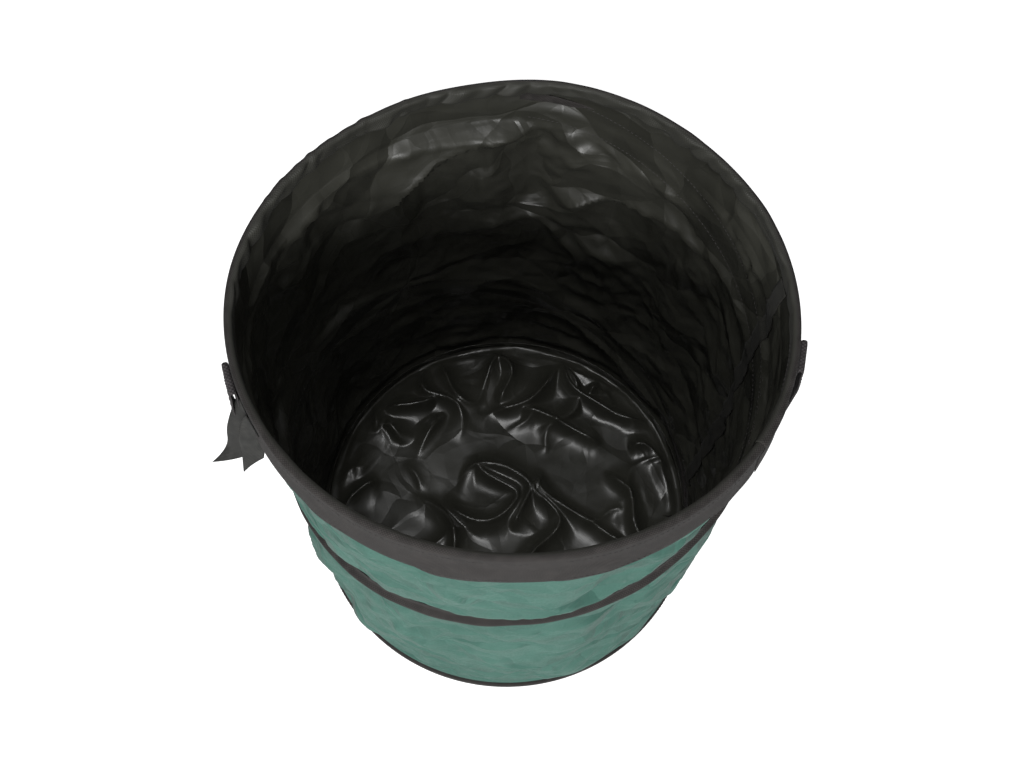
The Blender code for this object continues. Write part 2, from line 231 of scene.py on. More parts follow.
def eased(way):
    """The way along the fall, starting and ending level: its speed ramps up and down evenly."""
    grid = np.linspace(0, 1, 4001)
    speed = np.clip(np.minimum(grid, 1 - grid) / FALL_EASE_SHARE, 0, 1)
    covered = np.concatenate([[0], np.cumsum((speed[1:] + speed[:-1]) / 2)])
    return np.interp(way, grid, covered / covered[-1])


def wire_height(degrees):
    """Height of the wire after that many degrees from its end in the rim: flat turn, fall, flat turn."""
    top = RIM_WIRE_Z - FLAT_TURN_FALL
    foot = BASE_WIRE_Z + FLAT_TURN_FALL
    way = eased(np.clip((degrees - 360) / FALL_DEGREES, 0, 1))
    held = np.sin(np.pi * way)
    lean = np.cos(np.radians(WIRE_START_DEGREES - degrees - FALL_LEAN_AZIMUTH))
    fall = top - (top - foot) * (way - FALL_BOW_SHARE * held + FALL_LEAN_SHARE * held * lean)
    first = RIM_WIRE_Z - FLAT_TURN_FALL * degrees / 360
    last = foot - FLAT_TURN_FALL * (degrees - 360 - FALL_DEGREES) / 360
    return np.where(degrees < 360, first, np.where(degrees > 360 + FALL_DEGREES, last, fall))


def wire_crossings(azimuth):
    """Heights at which the wire passes an azimuth, one array for each turn that may pass there."""
    first = np.mod(WIRE_START_DEGREES - np.degrees(azimuth), 360)
    heights = []
    for turn in range(4):
        degrees = first + 360 * turn
        height = wire_height(degrees)
        heights.append(np.where(degrees <= WHOLE_WAY, height, -1.0))
    return heights


def polar(radius, azimuth, height):
    """Points at radii, azimuths in radians and heights, as one array of x, y, z."""
    radius, azimuth, height = np.broadcast_arrays(radius, azimuth, height)
    return np.stack([radius * np.cos(azimuth), radius * np.sin(azimuth), height], axis=-1)


def outward(azimuth):
    """Unit vectors straight out from the axis."""
    return polar(1.0, azimuth, 0.0)


def ripple(across, up, spread, seed, girth=GIRTH, stretch=1.0, slant=0.0, with_slope=False):
    """Smooth swells: a sum of sines of random directions, which repeats after the girth.

    stretch draws the swells out along the way round, and slant leans them. The slope is the length
    of the field's gradient, from the same sum.
    """
    draw = np.random.default_rng(seed)
    across, up = np.broadcast_arrays(across, up)
    field, along, upwards = np.zeros(across.shape), np.zeros(across.shape), np.zeros(across.shape)
    for _ in range(24):
        turns = round(draw.normal(0, girth / spread / 2 / stretch))
        round_rate = turns * TAU / girth
        rise = draw.normal(0, TAU / spread / 2) + slant * round_rate
        angle = round_rate * across + rise * up + draw.uniform(0, TAU)
        field += np.cos(angle)
        if with_slope:
            along -= round_rate * np.sin(angle)
            upwards -= rise * np.sin(angle)
    if with_slope:
        return field / math.sqrt(12), np.hypot(along, upwards) / math.sqrt(12)
    return field / math.sqrt(12)


def pinches(across, up, spread, width, seeds, **way):
    """Pinched folds: sharp crests along the zero lines of swells, broken into stretches by other swells.

    The distance from a zero line is about the field over its slope, and a crest falls off from 1 by
    the exponential of that distance over the width. Where folds cross, the higher one stands.
    """
    highest = np.zeros(np.broadcast(across, up).shape)
    for seed in seeds:
        field, slope = ripple(across, up, spread, seed, with_slope=True, **way)
        far = np.abs(field) / np.maximum(slope, 3.0)
        stretches = smooth(ripple(across, up, spread * 1.1, seed + 500, **way), -0.1, 0.9)
        highest = np.maximum(highest, np.exp(-far / width) * stretches)
    return highest


def wobble(azimuth):
    """How far the rim stands out of a true circle at an azimuth: the table's offsets, smoothly joined."""
    table = np.array(sorted(RIM_WOBBLE.items()))
    degrees = np.arange(360)
    offsets = np.interp(degrees, table[:, 0], table[:, 1], period=360)
    bell = np.hanning(31)
    padded = np.concatenate([offsets[-15:], offsets, offsets[:15]])
    eased_offsets = np.convolve(padded, bell / bell.sum(), mode="valid")
    return np.interp(np.degrees(azimuth), degrees, eased_offsets, period=360)


def lean_out(azimuth, height):
    """Radial offset of everything on the bag: the rim's wobble, dying away towards the base."""
    return wobble(azimuth) * smooth(height, -0.05, 0.36)


def free_reach(azimuth, height):
    """Distance up or down the wall to what holds it next: the rim's hem, the sleeve or the base tape."""
    half = SLEEVE_WIDTH / 2 + CLEARANCE
    reach = np.minimum(height - BASE_TAPE_TOP + 0.001, RIM_EDGE_Z + 0.002 - height)
    for crossing in wire_crossings(azimuth):
        sleeved = (crossing <= SLEEVE_TOP_Z + 0.012) & (crossing >= SLEEVE_FOOT_Z - 0.012)
        reach = np.where(sleeved, np.minimum(reach, np.abs(height - crossing) - half), reach)
    return np.maximum(reach, 0)


def folded(azimuth, height):
    """Long slanting folds, as in the solids: a sum of cosines that dies away at the side seam."""
    degrees = np.degrees(azimuth)
    from_seam = np.abs(np.mod(degrees + 180, 360) - 180)
    free = np.clip((from_seam - 6) / 24, 0, 1)
    depth = np.zeros(np.broadcast(azimuth, height).shape)
    for fold in FOLDS:
        angle = np.radians(fold["turns"] * degrees + 360 * height / fold["pitch"] + fold["start"])
        depth = depth + fold["depth_share"] * np.cos(angle)
    return free * depth


def hung_wall(azimuth, height):
    """Outer radius of the wall before it creases: held in by wire and hem, blown out between them."""
    reach = free_reach(azimuth, height)
    swell = (1 - np.exp(-reach / SWELL_REACH)) * (WALL_SWELL + FOLD_DEPTH * folded(azimuth, height))
    hem = HEM_SHIFT * smooth(height, HEM_Z, HEM_Z + HEM_HEIGHT)
    groove = np.zeros(height.shape)
    uneven = 0.75 + 0.4 * ripple(azimuth * WALL_RADIUS, 0.0, 0.16, 61)
    for crossing in wire_crossings(azimuth):
        groove += WIRE_GROOVE * np.exp(-((height - crossing) / WIRE_GROOVE_HEIGHT) ** 2)
        above = np.maximum(height - crossing - SLEEVE_WIDTH / 2 - CLEARANCE, 0) / SAG_HEIGHT
        sleeved = (crossing <= RIM_EDGE_Z - 0.030) & (crossing >= SLEEVE_FOOT_Z)
        swell = swell + np.where(sleeved, SAG * np.clip(uneven, 0.2, 1.3) * above * np.exp(1 - above), 0)
    above = np.maximum(height - BASE_TAPE_TOP + 0.001, 0) / SAG_HEIGHT
    swell = swell + BASE_SAG * above * np.exp(1 - above)
    return WALL_RADIUS + swell + hem - groove * (height < HEM_Z), reach


def grid_faces(rows, columns, wrap):
    """Corner numbers of the quads of a grid of points, whose last column may join its first."""
    across = columns if wrap else columns - 1
    row, column = np.meshgrid(np.arange(rows - 1), np.arange(across), indexing="ij")
    here = row * columns + column
    right = row * columns + (column + 1) % columns
    return np.stack([here, right, right + columns, here + columns], axis=-1).reshape(-1, 4)


def mesh_from_arrays(name, points, faces, flat=None):
    """A mesh of equal-sided faces from arrays of points and corner numbers, and a flat place per corner."""
    mesh = bpy.data.meshes.new(name)
    sides = faces.shape[1]
    mesh.vertices.add(len(points))
    mesh.vertices.foreach_set("co", np.asarray(points, np.float32).ravel())
    mesh.loops.add(faces.size)
    mesh.loops.foreach_set("vertex_index", faces.astype(np.int32).ravel())
    mesh.polygons.add(len(faces))
    mesh.polygons.foreach_set("loop_start", np.arange(0, faces.size, sides, dtype=np.int32))
    if flat is not None:
        layer = mesh.uv_layers.new(name="cloth")
        layer.data.foreach_set("uv", np.asarray(flat, np.float32).ravel())
    mesh.update(calc_edges=True)
    mesh.validate()
    mesh.shade_smooth()
    return mesh


def mesh_from_grid(name, points, wrap=False, pattern=None):
    """A mesh over a grid of points (rows, columns, 3), rows upwards and columns anticlockwise.

    pattern gives each point's flat place on the cloth in metres, which becomes the UV map.
    """
    rows, columns = points.shape[:2]
    faces = grid_faces(rows, columns, wrap)
    flat = None
    if pattern is not None:
        flat = pattern.reshape(-1, 2)[faces.reshape(-1)].reshape(-1, 4, 2).copy()
        if wrap:
            low = flat[:, :, 0].max(axis=1, keepdims=True) - GIRTH / 2
            flat[:, :, 0] += np.where(flat[:, :, 0] < low, GIRTH, 0)
    return mesh_from_arrays(name, points.reshape(-1, 3), faces, flat)


def faced_out(points, faces):
    """Turns the faces of a closed form round if its volume, summed over its corners, comes out negative."""
    a, b, c = (points[faces[:, k]] for k in range(3))
    if np.einsum("ij,ij->i", a, np.cross(b, c)).sum() < 0:
        return faces[:, ::-1]
    return faces


def add_object(name, mesh, *materials):
    """An object at the origin for a finished mesh, with its materials."""
    item = bpy.data.objects.new(name, mesh)
    for material in materials:
        mesh.materials.append(material)
    bpy.context.scene.collection.objects.link(item)
    return item


def thicken(item, thickness, inner_material=0):
    """Gives open cloth its thickness, behind its outer face."""
    solidify = item.modifiers.new("thickness", "SOLIDIFY")
    solidify.thickness = thickness
    solidify.offset = -1.0
    solidify.material_offset = inner_material
    solidify.use_even_offset = True
    return item


def applied(item):
    """Applies an object's modifiers, so that what follows works on the finished mesh."""
    graph = bpy.context.evaluated_depsgraph_get()
    graph.update()
    finished = bpy.data.meshes.new_from_object(item.evaluated_get(graph))
    item.modifiers.clear()
    item.data = finished
    return item


class Nodes:
    """Short ways to add and join nodes in one tree."""

    def __init__(self, tree):
        self.tree = tree

    def add(self, kind, values=None, **settings):
        node = self.tree.nodes.new(kind)
        for key, value in settings.items():
            setattr(node, key, value)
        for key, value in (values or {}).items():
            self.put(value, node.inputs[key])
        return node

    def put(self, value, socket):
        if isinstance(value, bpy.types.NodeSocket):
            self.tree.links.new(value, socket)
        else:
            socket.default_value = value

    def math(self, operation, a, b=0.0, clamp=False):
        return self.add("ShaderNodeMath", {0: a, 1: b}, operation=operation, use_clamp=clamp).outputs[0]

    def ramp(self, value, low, high, out_low=0.0, out_high=1.0):
        values = {"Value": value, "From Min": low, "From Max": high, "To Min": out_low, "To Max": out_high}
        return self.add("ShaderNodeMapRange", values).outputs[0]

    def noise(self, place, scale, detail=3.0, distortion=0.0):
        values = {"Vector": place, "Scale": scale, "Detail": detail, "Distortion": distortion}
        return self.add("ShaderNodeTexNoise", values).outputs[0]

    def mix(self, factor, a, b):
        node = self.add("ShaderNodeMix", data_type="RGBA")
        for socket, value in ((node.inputs[0], factor), (node.inputs[6], a), (node.inputs[7], b)):
            self.put(value, socket)
        return node.outputs[2]

    def bump(self, height, distance, strength, below=None):
        values = {"Height": height, "Distance": distance, "Strength": strength}
        if below is not None:
            values["Normal"] = below
        return self.add("ShaderNodeBump", values).outputs[0]

    def flattened(self, place, share):
        values = {"Vector": place.outputs["Object"], "Scale": (1.0, 1.0, share)}
        return self.add("ShaderNodeMapping", values).outputs[0]

    def group(self, group, **values):
        node = self.add("ShaderNodeGroup", node_tree=group)
        for key, value in values.items():
            self.put(value, node.inputs[key])
        return node


def new_group(name, inputs, outputs):
    """An empty shader group with named vector and float inputs, and float outputs."""
    group = bpy.data.node_groups.new(name, "ShaderNodeTree")
    for label, kind, default in inputs:
        socket = group.interface.new_socket(label, in_out="INPUT", socket_type=kind)
        if default is not None:
            socket.default_value = default
    for label in outputs:
        group.interface.new_socket(label, in_out="OUTPUT", socket_type="NodeSocketFloat")
    nodes = Nodes(group)
    return group, nodes, nodes.add("NodeGroupInput"), nodes.add("NodeGroupOutput")


def weave_group():
    """Plain weave on the cloth's own flat place: threads over and under as a height, uneven ones as a shade."""
    inputs = [("Vector", "NodeSocketVector", None), ("Threads", "NodeSocketFloat", 1500.0)]
    group, n, given, out = new_group("plain weave", inputs, ["Height", "Shade"])
    scaled = n.add("ShaderNodeVectorMath", {0: given.outputs[0], "Scale": given.outputs[1]}, operation="SCALE")
    split = n.add("ShaderNodeSeparateXYZ", {0: scaled.outputs[0]})
    warp = n.math("SINE", n.math("MULTIPLY", split.outputs[0], math.pi))
    weft = n.math("SINE", n.math("MULTIPLY", split.outputs[1], math.pi))
    group.links.new(n.math("MULTIPLY", warp, weft), out.inputs[0])
    group.links.new(n.ramp(n.noise(given.outputs[0], 420.0), 0.3, 0.7), out.inputs[1])
    return group


def crease_group():
    """Hard creases of cloth that was folded away: thin ridges where a bent noise passes its middle value."""
    inputs = [("Vector", "NodeSocketVector", None), ("Scale", "NodeSocketFloat", 12.0)]
    group, n, given, out = new_group("creases", inputs, ["Height", "Mask"])
    heights = []
    for factor in (1.0, 2.3):
        noise = n.noise(given.outputs[0], n.math("MULTIPLY", given.outputs[1], factor), 1.0, 0.8)
        from_middle = n.math("ABSOLUTE", n.math("SUBTRACT", noise, 0.5))
        heights.append(n.math("SUBTRACT", 1.0, n.math("MULTIPLY", from_middle, 5.0), clamp=True))
    mixed = n.math("ADD", n.math("MULTIPLY", heights[0], 0.7), n.math("MULTIPLY", heights[1], 0.3))
    group.links.new(mixed, out.inputs[0])
    group.links.new(n.ramp(n.noise(given.outputs[0], 7.0, 2.0), 0.40, 0.62), out.inputs[1])
    return group


def facet_group():
    """Flat facets between hard creases: the distance to the border between cells, at two sizes, as a height."""
    inputs = [
        ("Vector", "NodeSocketVector", None),
        ("Scale", "NodeSocketFloat", 20.0),
        ("Slope", "NodeSocketFloat", 0.2),
    ]
    group, n, given, out = new_group("facets", inputs, ["Height"])
    bend = n.add("ShaderNodeTexNoise", {"Vector": given.outputs[0], "Scale": 14.0, "Detail": 1.0}).outputs[1]
    centred = n.add("ShaderNodeVectorMath", {0: bend, 1: (0.5, 0.5, 0.5)}, operation="SUBTRACT").outputs[0]
    shifted = n.add("ShaderNodeVectorMath", {0: centred, "Scale": 0.045}, operation="SCALE").outputs[0]
    place = n.add("ShaderNodeVectorMath", {0: given.outputs[0], 1: shifted}, operation="ADD").outputs[0]
    total = None
    for factor, part in ((1.0, 1.0), (2.2, 0.3)):
        scale = n.math("MULTIPLY", given.outputs[1], factor)
        cells = n.add("ShaderNodeTexVoronoi", {"Vector": place, "Scale": scale}, feature="DISTANCE_TO_EDGE")
        slope = n.math("MULTIPLY", given.outputs[2], part)
        height = n.math("MULTIPLY", n.math("DIVIDE", cells.outputs["Distance"], scale), slope)
        total = height if total is None else n.math("ADD", total, height)
    group.links.new(total, out.inputs[0])
    return group


def new_material(name):
    """A material with a Principled shader, and the helper that adds its nodes."""
    material = bpy.data.materials.new(name)
    material.use_nodes = True
    return material, Nodes(material.node_tree), material.node_tree.nodes["Principled BSDF"]


def outer_cloth_material():
    """Teal green polyester: matte plain weave, a little uneven in shade, with facets between soft creases."""
    material, n, shader = new_material("green_polyester")
    place = n.add("ShaderNodeTexCoord")
    weave = n.group(WEAVE, Vector=place.outputs["UV"], Threads=1400.0)
    flattened = n.flattened(place, 1.5)
    facets = n.group(FACETS, Vector=flattened, Scale=10.0, Slope=0.34)
    crease = n.group(CREASES, Vector=flattened, Scale=9.0)
    shade = n.ramp(n.noise(place.outputs["Object"], 9.0, 5.0), 0.3, 0.7)
    base = n.mix(shade, (0.046, 0.136, 0.106, 1), (0.066, 0.172, 0.137, 1))
    threads = n.mix(n.math("MULTIPLY", weave.outputs["Shade"], 0.30), base, (0.038, 0.114, 0.088, 1))
    n.put(threads, shader.inputs["Base Color"])
    n.put(n.ramp(weave.outputs["Shade"], 0, 1, 0.50, 0.66), shader.inputs["Roughness"])
    shader.inputs["Sheen Weight"].default_value = 0.04
    shader.inputs["Sheen Roughness"].default_value = 0.5
    shader.inputs["Specular IOR Level"].default_value = 0.35
    fine = n.bump(weave.outputs["Height"], 0.00006, 0.6)
    flat = n.bump(facets.outputs["Height"], 1.0, 0.9, fine)
    height = n.math("MULTIPLY", crease.outputs["Height"], n.ramp(crease.outputs["Mask"], 0, 1, 0.1, 1.0))
    n.put(n.bump(height, 0.0010, 0.6, flat), shader.inputs["Normal"])
    return material


def coated_cloth_material(name, facet_scale, slope, roughness):
    """Black coated side: near-black olive with a soft gloss that breaks on flat facets and hard creases."""
    material, n, shader = new_material(name)
    place = n.add("ShaderNodeTexCoord")
    flattened = n.flattened(place, 1.3)
    facets = n.group(FACETS, Vector=flattened, Scale=facet_scale, Slope=slope)
    crease = n.group(CREASES, Vector=place.outputs["Object"], Scale=7.0)
    cloud = n.noise(place.outputs["Object"], 11.0, 5.0)
    base = n.mix(n.ramp(cloud, 0.3, 0.7), (0.030, 0.030, 0.0245, 1), (0.048, 0.048, 0.039, 1))
    n.put(base, shader.inputs["Base Color"])
    n.put(n.ramp(cloud, 0.3, 0.7, roughness, roughness * 1.35), shader.inputs["Roughness"])
    shader.inputs["Specular IOR Level"].default_value = 0.6
    height = n.math("MULTIPLY", crease.outputs["Height"], n.ramp(crease.outputs["Mask"], 0, 1, 0.1, 1.0))
    grain = n.bump(n.noise(place.outputs["Object"], 800.0, 2.0), 0.00004, 0.5)
    flat = n.bump(facets.outputs["Height"], 1.0, 1.0, grain)
    n.put(n.bump(height, 0.0010, 0.6, flat), shader.inputs["Normal"])
    return material


def tape_material(name, dark, light, threads, depth, coated_from=None):
    """Woven tape: fine ribs, uneven shade and a dull sheen; past coated_from across it, black and glossier."""
    material, n, shader = new_material(name)
    place = n.add("ShaderNodeTexCoord")
    weave = n.group(WEAVE, Vector=place.outputs["UV"], Threads=threads)
    cloud = n.noise(place.outputs["Object"], 130.0, 6.0)
    shade = n.math("ADD", n.math("MULTIPLY", cloud, 0.8), n.math("MULTIPLY", weave.outputs["Height"], 0.30))
    colour = n.mix(n.ramp(shade, 0.30, 0.72), (*dark, 1), (*light, 1))
    roughness = n.ramp(cloud, 0.3, 0.7, 0.72, 0.9)
    if coated_from is not None:
        run = n.add("ShaderNodeSeparateXYZ", {"Vector": place.outputs["UV"]}).outputs["Y"]
        coated = n.ramp(run, coated_from, coated_from + 0.003)
        colour = n.mix(coated, colour, (0.042, 0.042, 0.036, 1))
        roughness = n.math("SUBTRACT", roughness, n.math("MULTIPLY", coated, 0.38))
    n.put(colour, shader.inputs["Base Color"])
    n.put(roughness, shader.inputs["Roughness"])
    shader.inputs["Sheen Weight"].default_value = 0.03
    shader.inputs["Specular IOR Level"].default_value = 0.22
    n.put(n.bump(weave.outputs["Height"], depth, 0.8), shader.inputs["Normal"])
    return material


def plain_material(name, colour, roughness, metallic=0.0):
    """A moulded, drawn or twisted surface with a slight grain."""
    material, n, shader = new_material(name)
    place = n.add("ShaderNodeTexCoord")
    grain = n.noise(place.outputs["Object"], 900.0)
    darker = tuple(0.8 * part for part in colour)
    n.put(n.mix(grain, (*darker, 1), (*colour, 1)), shader.inputs["Base Color"])
    n.put(n.ramp(grain, 0, 1, roughness * 0.85, roughness * 1.15), shader.inputs["Roughness"])
    shader.inputs["Metallic"].default_value = metallic
    n.put(n.bump(grain, 0.0001, 0.4), shader.inputs["Normal"])
    return material


WEAVE = weave_group()
CREASES = crease_group()
FACETS = facet_group()
green_cloth = outer_cloth_material()
black_coating = coated_cloth_material("black_coating", 8.0, 0.22, 0.35)
floor_coating = coated_cloth_material("floor_coating", 9.0, 0.08, 0.27)
binding_tape = tape_material("binding_tape", (0.022, 0.020, 0.019), (0.062, 0.056, 0.054), 900.0, 0.00012)
rim_binding = tape_material(
    "rim_binding", (0.020, 0.018, 0.017), (0.058, 0.053, 0.051), 900.0, 0.00012,
    coated_from=BAG_HEIGHT - RIM_EDGE_Z + 0.0015,
)
seam_binding = tape_material("seam_binding", (0.022, 0.022, 0.019), (0.040, 0.039, 0.034), 900.0, 0.00010)
strap_webbing = tape_material("strap_webbing", (0.034, 0.031, 0.032), (0.088, 0.080, 0.082), 620.0, 0.0003)
tie_ribbon = tape_material("tie_ribbon", (0.022, 0.022, 0.021), (0.062, 0.062, 0.058), 1100.0, 0.00008)
thread = plain_material("dark_thread", (0.050, 0.046, 0.046), 0.7)
spring_steel = plain_material("spring_steel", (0.52, 0.52, 0.54), 0.34, 1.0)
cap_plastic = plain_material("cap_plastic", (0.022, 0.022, 0.024), 0.45)


def settled(item, held, cut, frames, bending, gravity, ground=False):
    """Lets cloth buckle: its held points stay, and the rest gives way to the size that it was cut to.

    held marks the sewn points, and cut gives every point's place in a larger shape, whose edge
    lengths are the real lengths of the cloth. Returns the places of the points after the last frame.
    """
    mesh = item.data
    seam = item.vertex_groups.new(name="sewn")
    seam.add(np.nonzero(held.ravel())[0].tolist(), 1.0, "REPLACE")
    item.shape_key_add(name="as_hung")
    pattern = item.shape_key_add(name="as_cut")
    pattern.data.foreach_set("co", np.asarray(cut, np.float32).ravel())
    cloth = item.modifiers.new("cloth", "CLOTH")
    settings = cloth.settings
    settings.rest_shape_key = pattern
    settings.quality = 5
    settings.mass = 0.1
    settings.tension_stiffness = 30
    settings.compression_stiffness = 30
    settings.shear_stiffness = 12
    settings.bending_model = "ANGULAR"
    settings.bending_stiffness = bending
    settings.tension_damping = 8
    settings.compression_damping = 8
    settings.bending_damping = 2
    settings.vertex_group_mass = "sewn"
    settings.effector_weights.gravity = gravity
    cloth.collision_settings.use_collision = ground
    cloth.collision_settings.distance_min = 0.001
    for frame_number in range(1, frames + 1):
        bpy.context.scene.frame_set(frame_number)
    graph = bpy.context.evaluated_depsgraph_get()
    finished = item.evaluated_get(graph).data
    places = np.empty(len(mesh.vertices) * 3, np.float32)
    finished.vertices.foreach_get("co", places)
    item.modifiers.clear()
    item.shape_key_clear()
    item.vertex_groups.clear()
    bpy.context.scene.frame_set(1)
    return places.reshape(-1, 3)


def evened(field):
    """Each sample of a grid averaged with its neighbours by 1, 2, 1, both ways.

    This takes out buckles of a single cell.
    """
    for axis in (0, 1):
        ends = np.concatenate([field.take([0], axis), field, field.take([-1], axis)], axis)
        size = field.shape[axis]
        low, middle, high = (ends.take(np.arange(k, k + size), axis) for k in (0, 1, 2))
        field = (low + 2 * middle + high) / 4
    return field


def drawn_out(field, times, wrap):
    """Rows of samples made finer by cubics through each four neighbours."""
    count = len(field)
    steps = np.arange(count * times if wrap else (count - 1) * times + 1) / times
    before = np.floor(steps).astype(int)
    share = (steps - before)[:, None, None]
    a, b, c, d = (
        field[(before + k) % count if wrap else np.clip(before + k, 0, count - 1)] for k in (-1, 0, 1, 2)
    )
    return b + 0.5 * share * (c - a + share * (2 * a - 5 * b + 4 * c - d + share * (3 * (b - c) + d - a)))


def wall_grid(columns, rows):
    """Azimuths and heights of a grid over the wall."""
    return np.meshgrid(
        np.linspace(0, TAU, columns, endpoint=False),
        np.linspace(WALL_FOOT_Z, WALL_TOP_Z, rows),
    )


def wall_creases():
    """How far the cloth moves from its hung shape as it settles, on the fine grid.

    The wall is cut a little longer and wider than it hangs and slightly twisted, so it buckles
    between the wire and the hems. It settles on a coarse grid, whose moves are then drawn out.
    """
    azimuth, height = wall_grid(WALL_COLUMNS, WALL_ROWS)
    radius, reach = hung_wall(azimuth, height)
    across = azimuth * WALL_RADIUS
    draw = np.random.default_rng(5)
    swell = 0.003 * ripple(across, height, 0.13, 3) + draw.normal(0, 0.0006, across.shape)
    start = polar(radius + smooth(reach, 0, 0.02) * swell, azimuth, height)
    moved = start - polar(radius, azimuth, height)
    if SIMULATED:
        piece = add_object("coarse_wall", mesh_from_grid("coarse_wall", start, wrap=True))
        wider = (WALL_RADIUS + CUT_SLACK) * CUT_WIDER_SHARE
        cut = polar(wider, azimuth + CUT_TWIST * height / CUT_TWIST_HEIGHT, height * CUT_TALLER_SHARE)
        places = settled(piece, reach <= 0.0005, cut, 16, 0.08, 0.2)
        bpy.data.objects.remove(piece)
        moved = places.reshape(start.shape) - polar(radius, azimuth, height)
    fine = drawn_out(moved, FINER_UP, False)
    return np.swapaxes(drawn_out(np.swapaxes(fine, 0, 1), FINER_ROUND, True), 0, 1)


def large_folds(azimuth, height):
    """How far the large folds stand inwards: a crest along each line, which falls off either side.

    The crest falls off by the exponential of the distance from its line over the width on that side.

    Also gives how calm the cloth is there: 1 on the flat above a deep fold's crest, 0 away from it.
    """
    degrees = np.degrees(azimuth)
    total, calm = np.zeros(azimuth.shape), np.zeros(azimuth.shape)
    for (start, low), (end, high), depth, above, below in LARGE_FOLDS:
        across = (np.mod(degrees - start + 180, 360) - 180) * math.radians(1) * WALL_RADIUS
        run_across, run_up = math.radians(end - start) * WALL_RADIUS, high - low
        length = math.hypot(run_across, run_up)
        along = (across * run_across + (height - low) * run_up) / length
        bow = 0.10 * length * np.sin(np.pi * np.clip(along / length, 0, 1))
        off = ((height - low) * run_across - across * run_up) / length * math.copysign(1, run_across) - bow
        ends = smooth(along, -0.02, 0.03) * (1 - smooth(along, length - 0.03, length + 0.02))
        total += depth * ends * np.exp(-np.maximum(off, 0) / above - np.maximum(-off, 0) / below)
        flat = ends * smooth(off, -below, below) * (1 - smooth(off, above, 1.6 * above))
        calm = np.maximum(calm, flat * min(abs(depth) / 0.012, 1))
    return total, calm


WALL_SHAPE = {}


def wall_at(azimuth, height):
    """Points on the finished wall's outer face, between the four nearest points of its grid."""
    points = WALL_SHAPE["points"]
    rows, columns = points.shape[:2]
    column = np.mod(azimuth / TAU, 1) * columns
    row = np.clip((height - WALL_FOOT_Z) / (WALL_TOP_Z - WALL_FOOT_Z) * (rows - 1), 0, rows - 1.001)
    left, low = np.floor(column).astype(int) % columns, np.floor(row).astype(int)
    s, t = (column - np.floor(column))[..., None], (row - low)[..., None]
    right = (left + 1) % columns
    lower = points[low, left] * (1 - s) + points[low, right] * s
    upper = points[low + 1, left] * (1 - s) + points[low + 1, right] * s
    return lower * (1 - t) + upper * t


def build_wall():
    """The wall: one sheet, green outside and coated black inside."""
    creases = wall_creases()
    rows, columns = creases.shape[:2]
    azimuth, height = wall_grid(columns, rows)
    radius, reach = hung_wall(azimuth, height)
    creases = creases * smooth(reach, 0, 0.008)[..., None]
    across = azimuth * WALL_RADIUS
    held = 0.0005 * smooth(reach, 0.0, 0.004) * np.exp(-reach / 0.012) * ripple(across, height, 0.012, 8)
    sharp = 0.0036 * pinches(across, height, 0.150, 0.009, (71, 72), stretch=1.6, slant=0.35)
    sharp -= 0.0032 * pinches(across, height, 0.130, 0.010, (74, 76), stretch=1.8, slant=-0.5)
    folds, calm = large_folds(azimuth, height)
    behind = smooth(np.sin(azimuth), -0.2, 0.3)
    streaks = pinches(across, height, 0.050, 0.0045, (91, 92, 93), stretch=3.0, slant=0.15)
    sharp = sharp - 0.0058 * behind * smooth(height, 0.38, 0.42) * streaks
    sharp = sharp * (1 - 0.8 * calm) - folds
    uneven = np.clip(0.7 + 0.5 * ripple(across, height, 0.10, 62), 0.15, 1.4)
    along_seams = 0.0045 * behind * uneven * reach / 0.0042 * np.exp(1 - reach / 0.0042)
    creases = creases * (1 - 0.7 * calm)[..., None]
    bare = (height < RIM_EDGE_Z) * (height > BASE_TAPE_TOP)
    crisp = (held - along_seams + sharp * smooth(reach, 0.001, 0.014)) * bare
    points = polar(radius + lean_out(azimuth, height) + crisp, azimuth, height) + creases
    WALL_SHAPE["points"] = points
    pattern = np.stack([azimuth * WALL_RADIUS, height], axis=-1)
    mesh = mesh_from_grid("wall_cloth", points, wrap=True, pattern=pattern)
    wall = add_object("wall_cloth", mesh, green_cloth, black_coating)
    return applied(thicken(wall, FABRIC, inner_material=1))


def floor_section(reach, edge):
    """Radius and height of the floor's sheet at a distance along it: flat, a quarter bend, and up the wall."""
    flat = edge - FLOOR_FOLD_RADIUS
    bend = FLOOR_FOLD_RADIUS * math.pi / 2
    angle = np.clip((reach - flat) / FLOOR_FOLD_RADIUS, 0, math.pi / 2)
    radius = np.minimum(reach, flat) + FLOOR_FOLD_RADIUS * np.sin(angle)
    height = FLOOR_FOLD_RADIUS * (1 - np.cos(angle)) + np.maximum(reach - flat - bend, 0)
    return radius, height


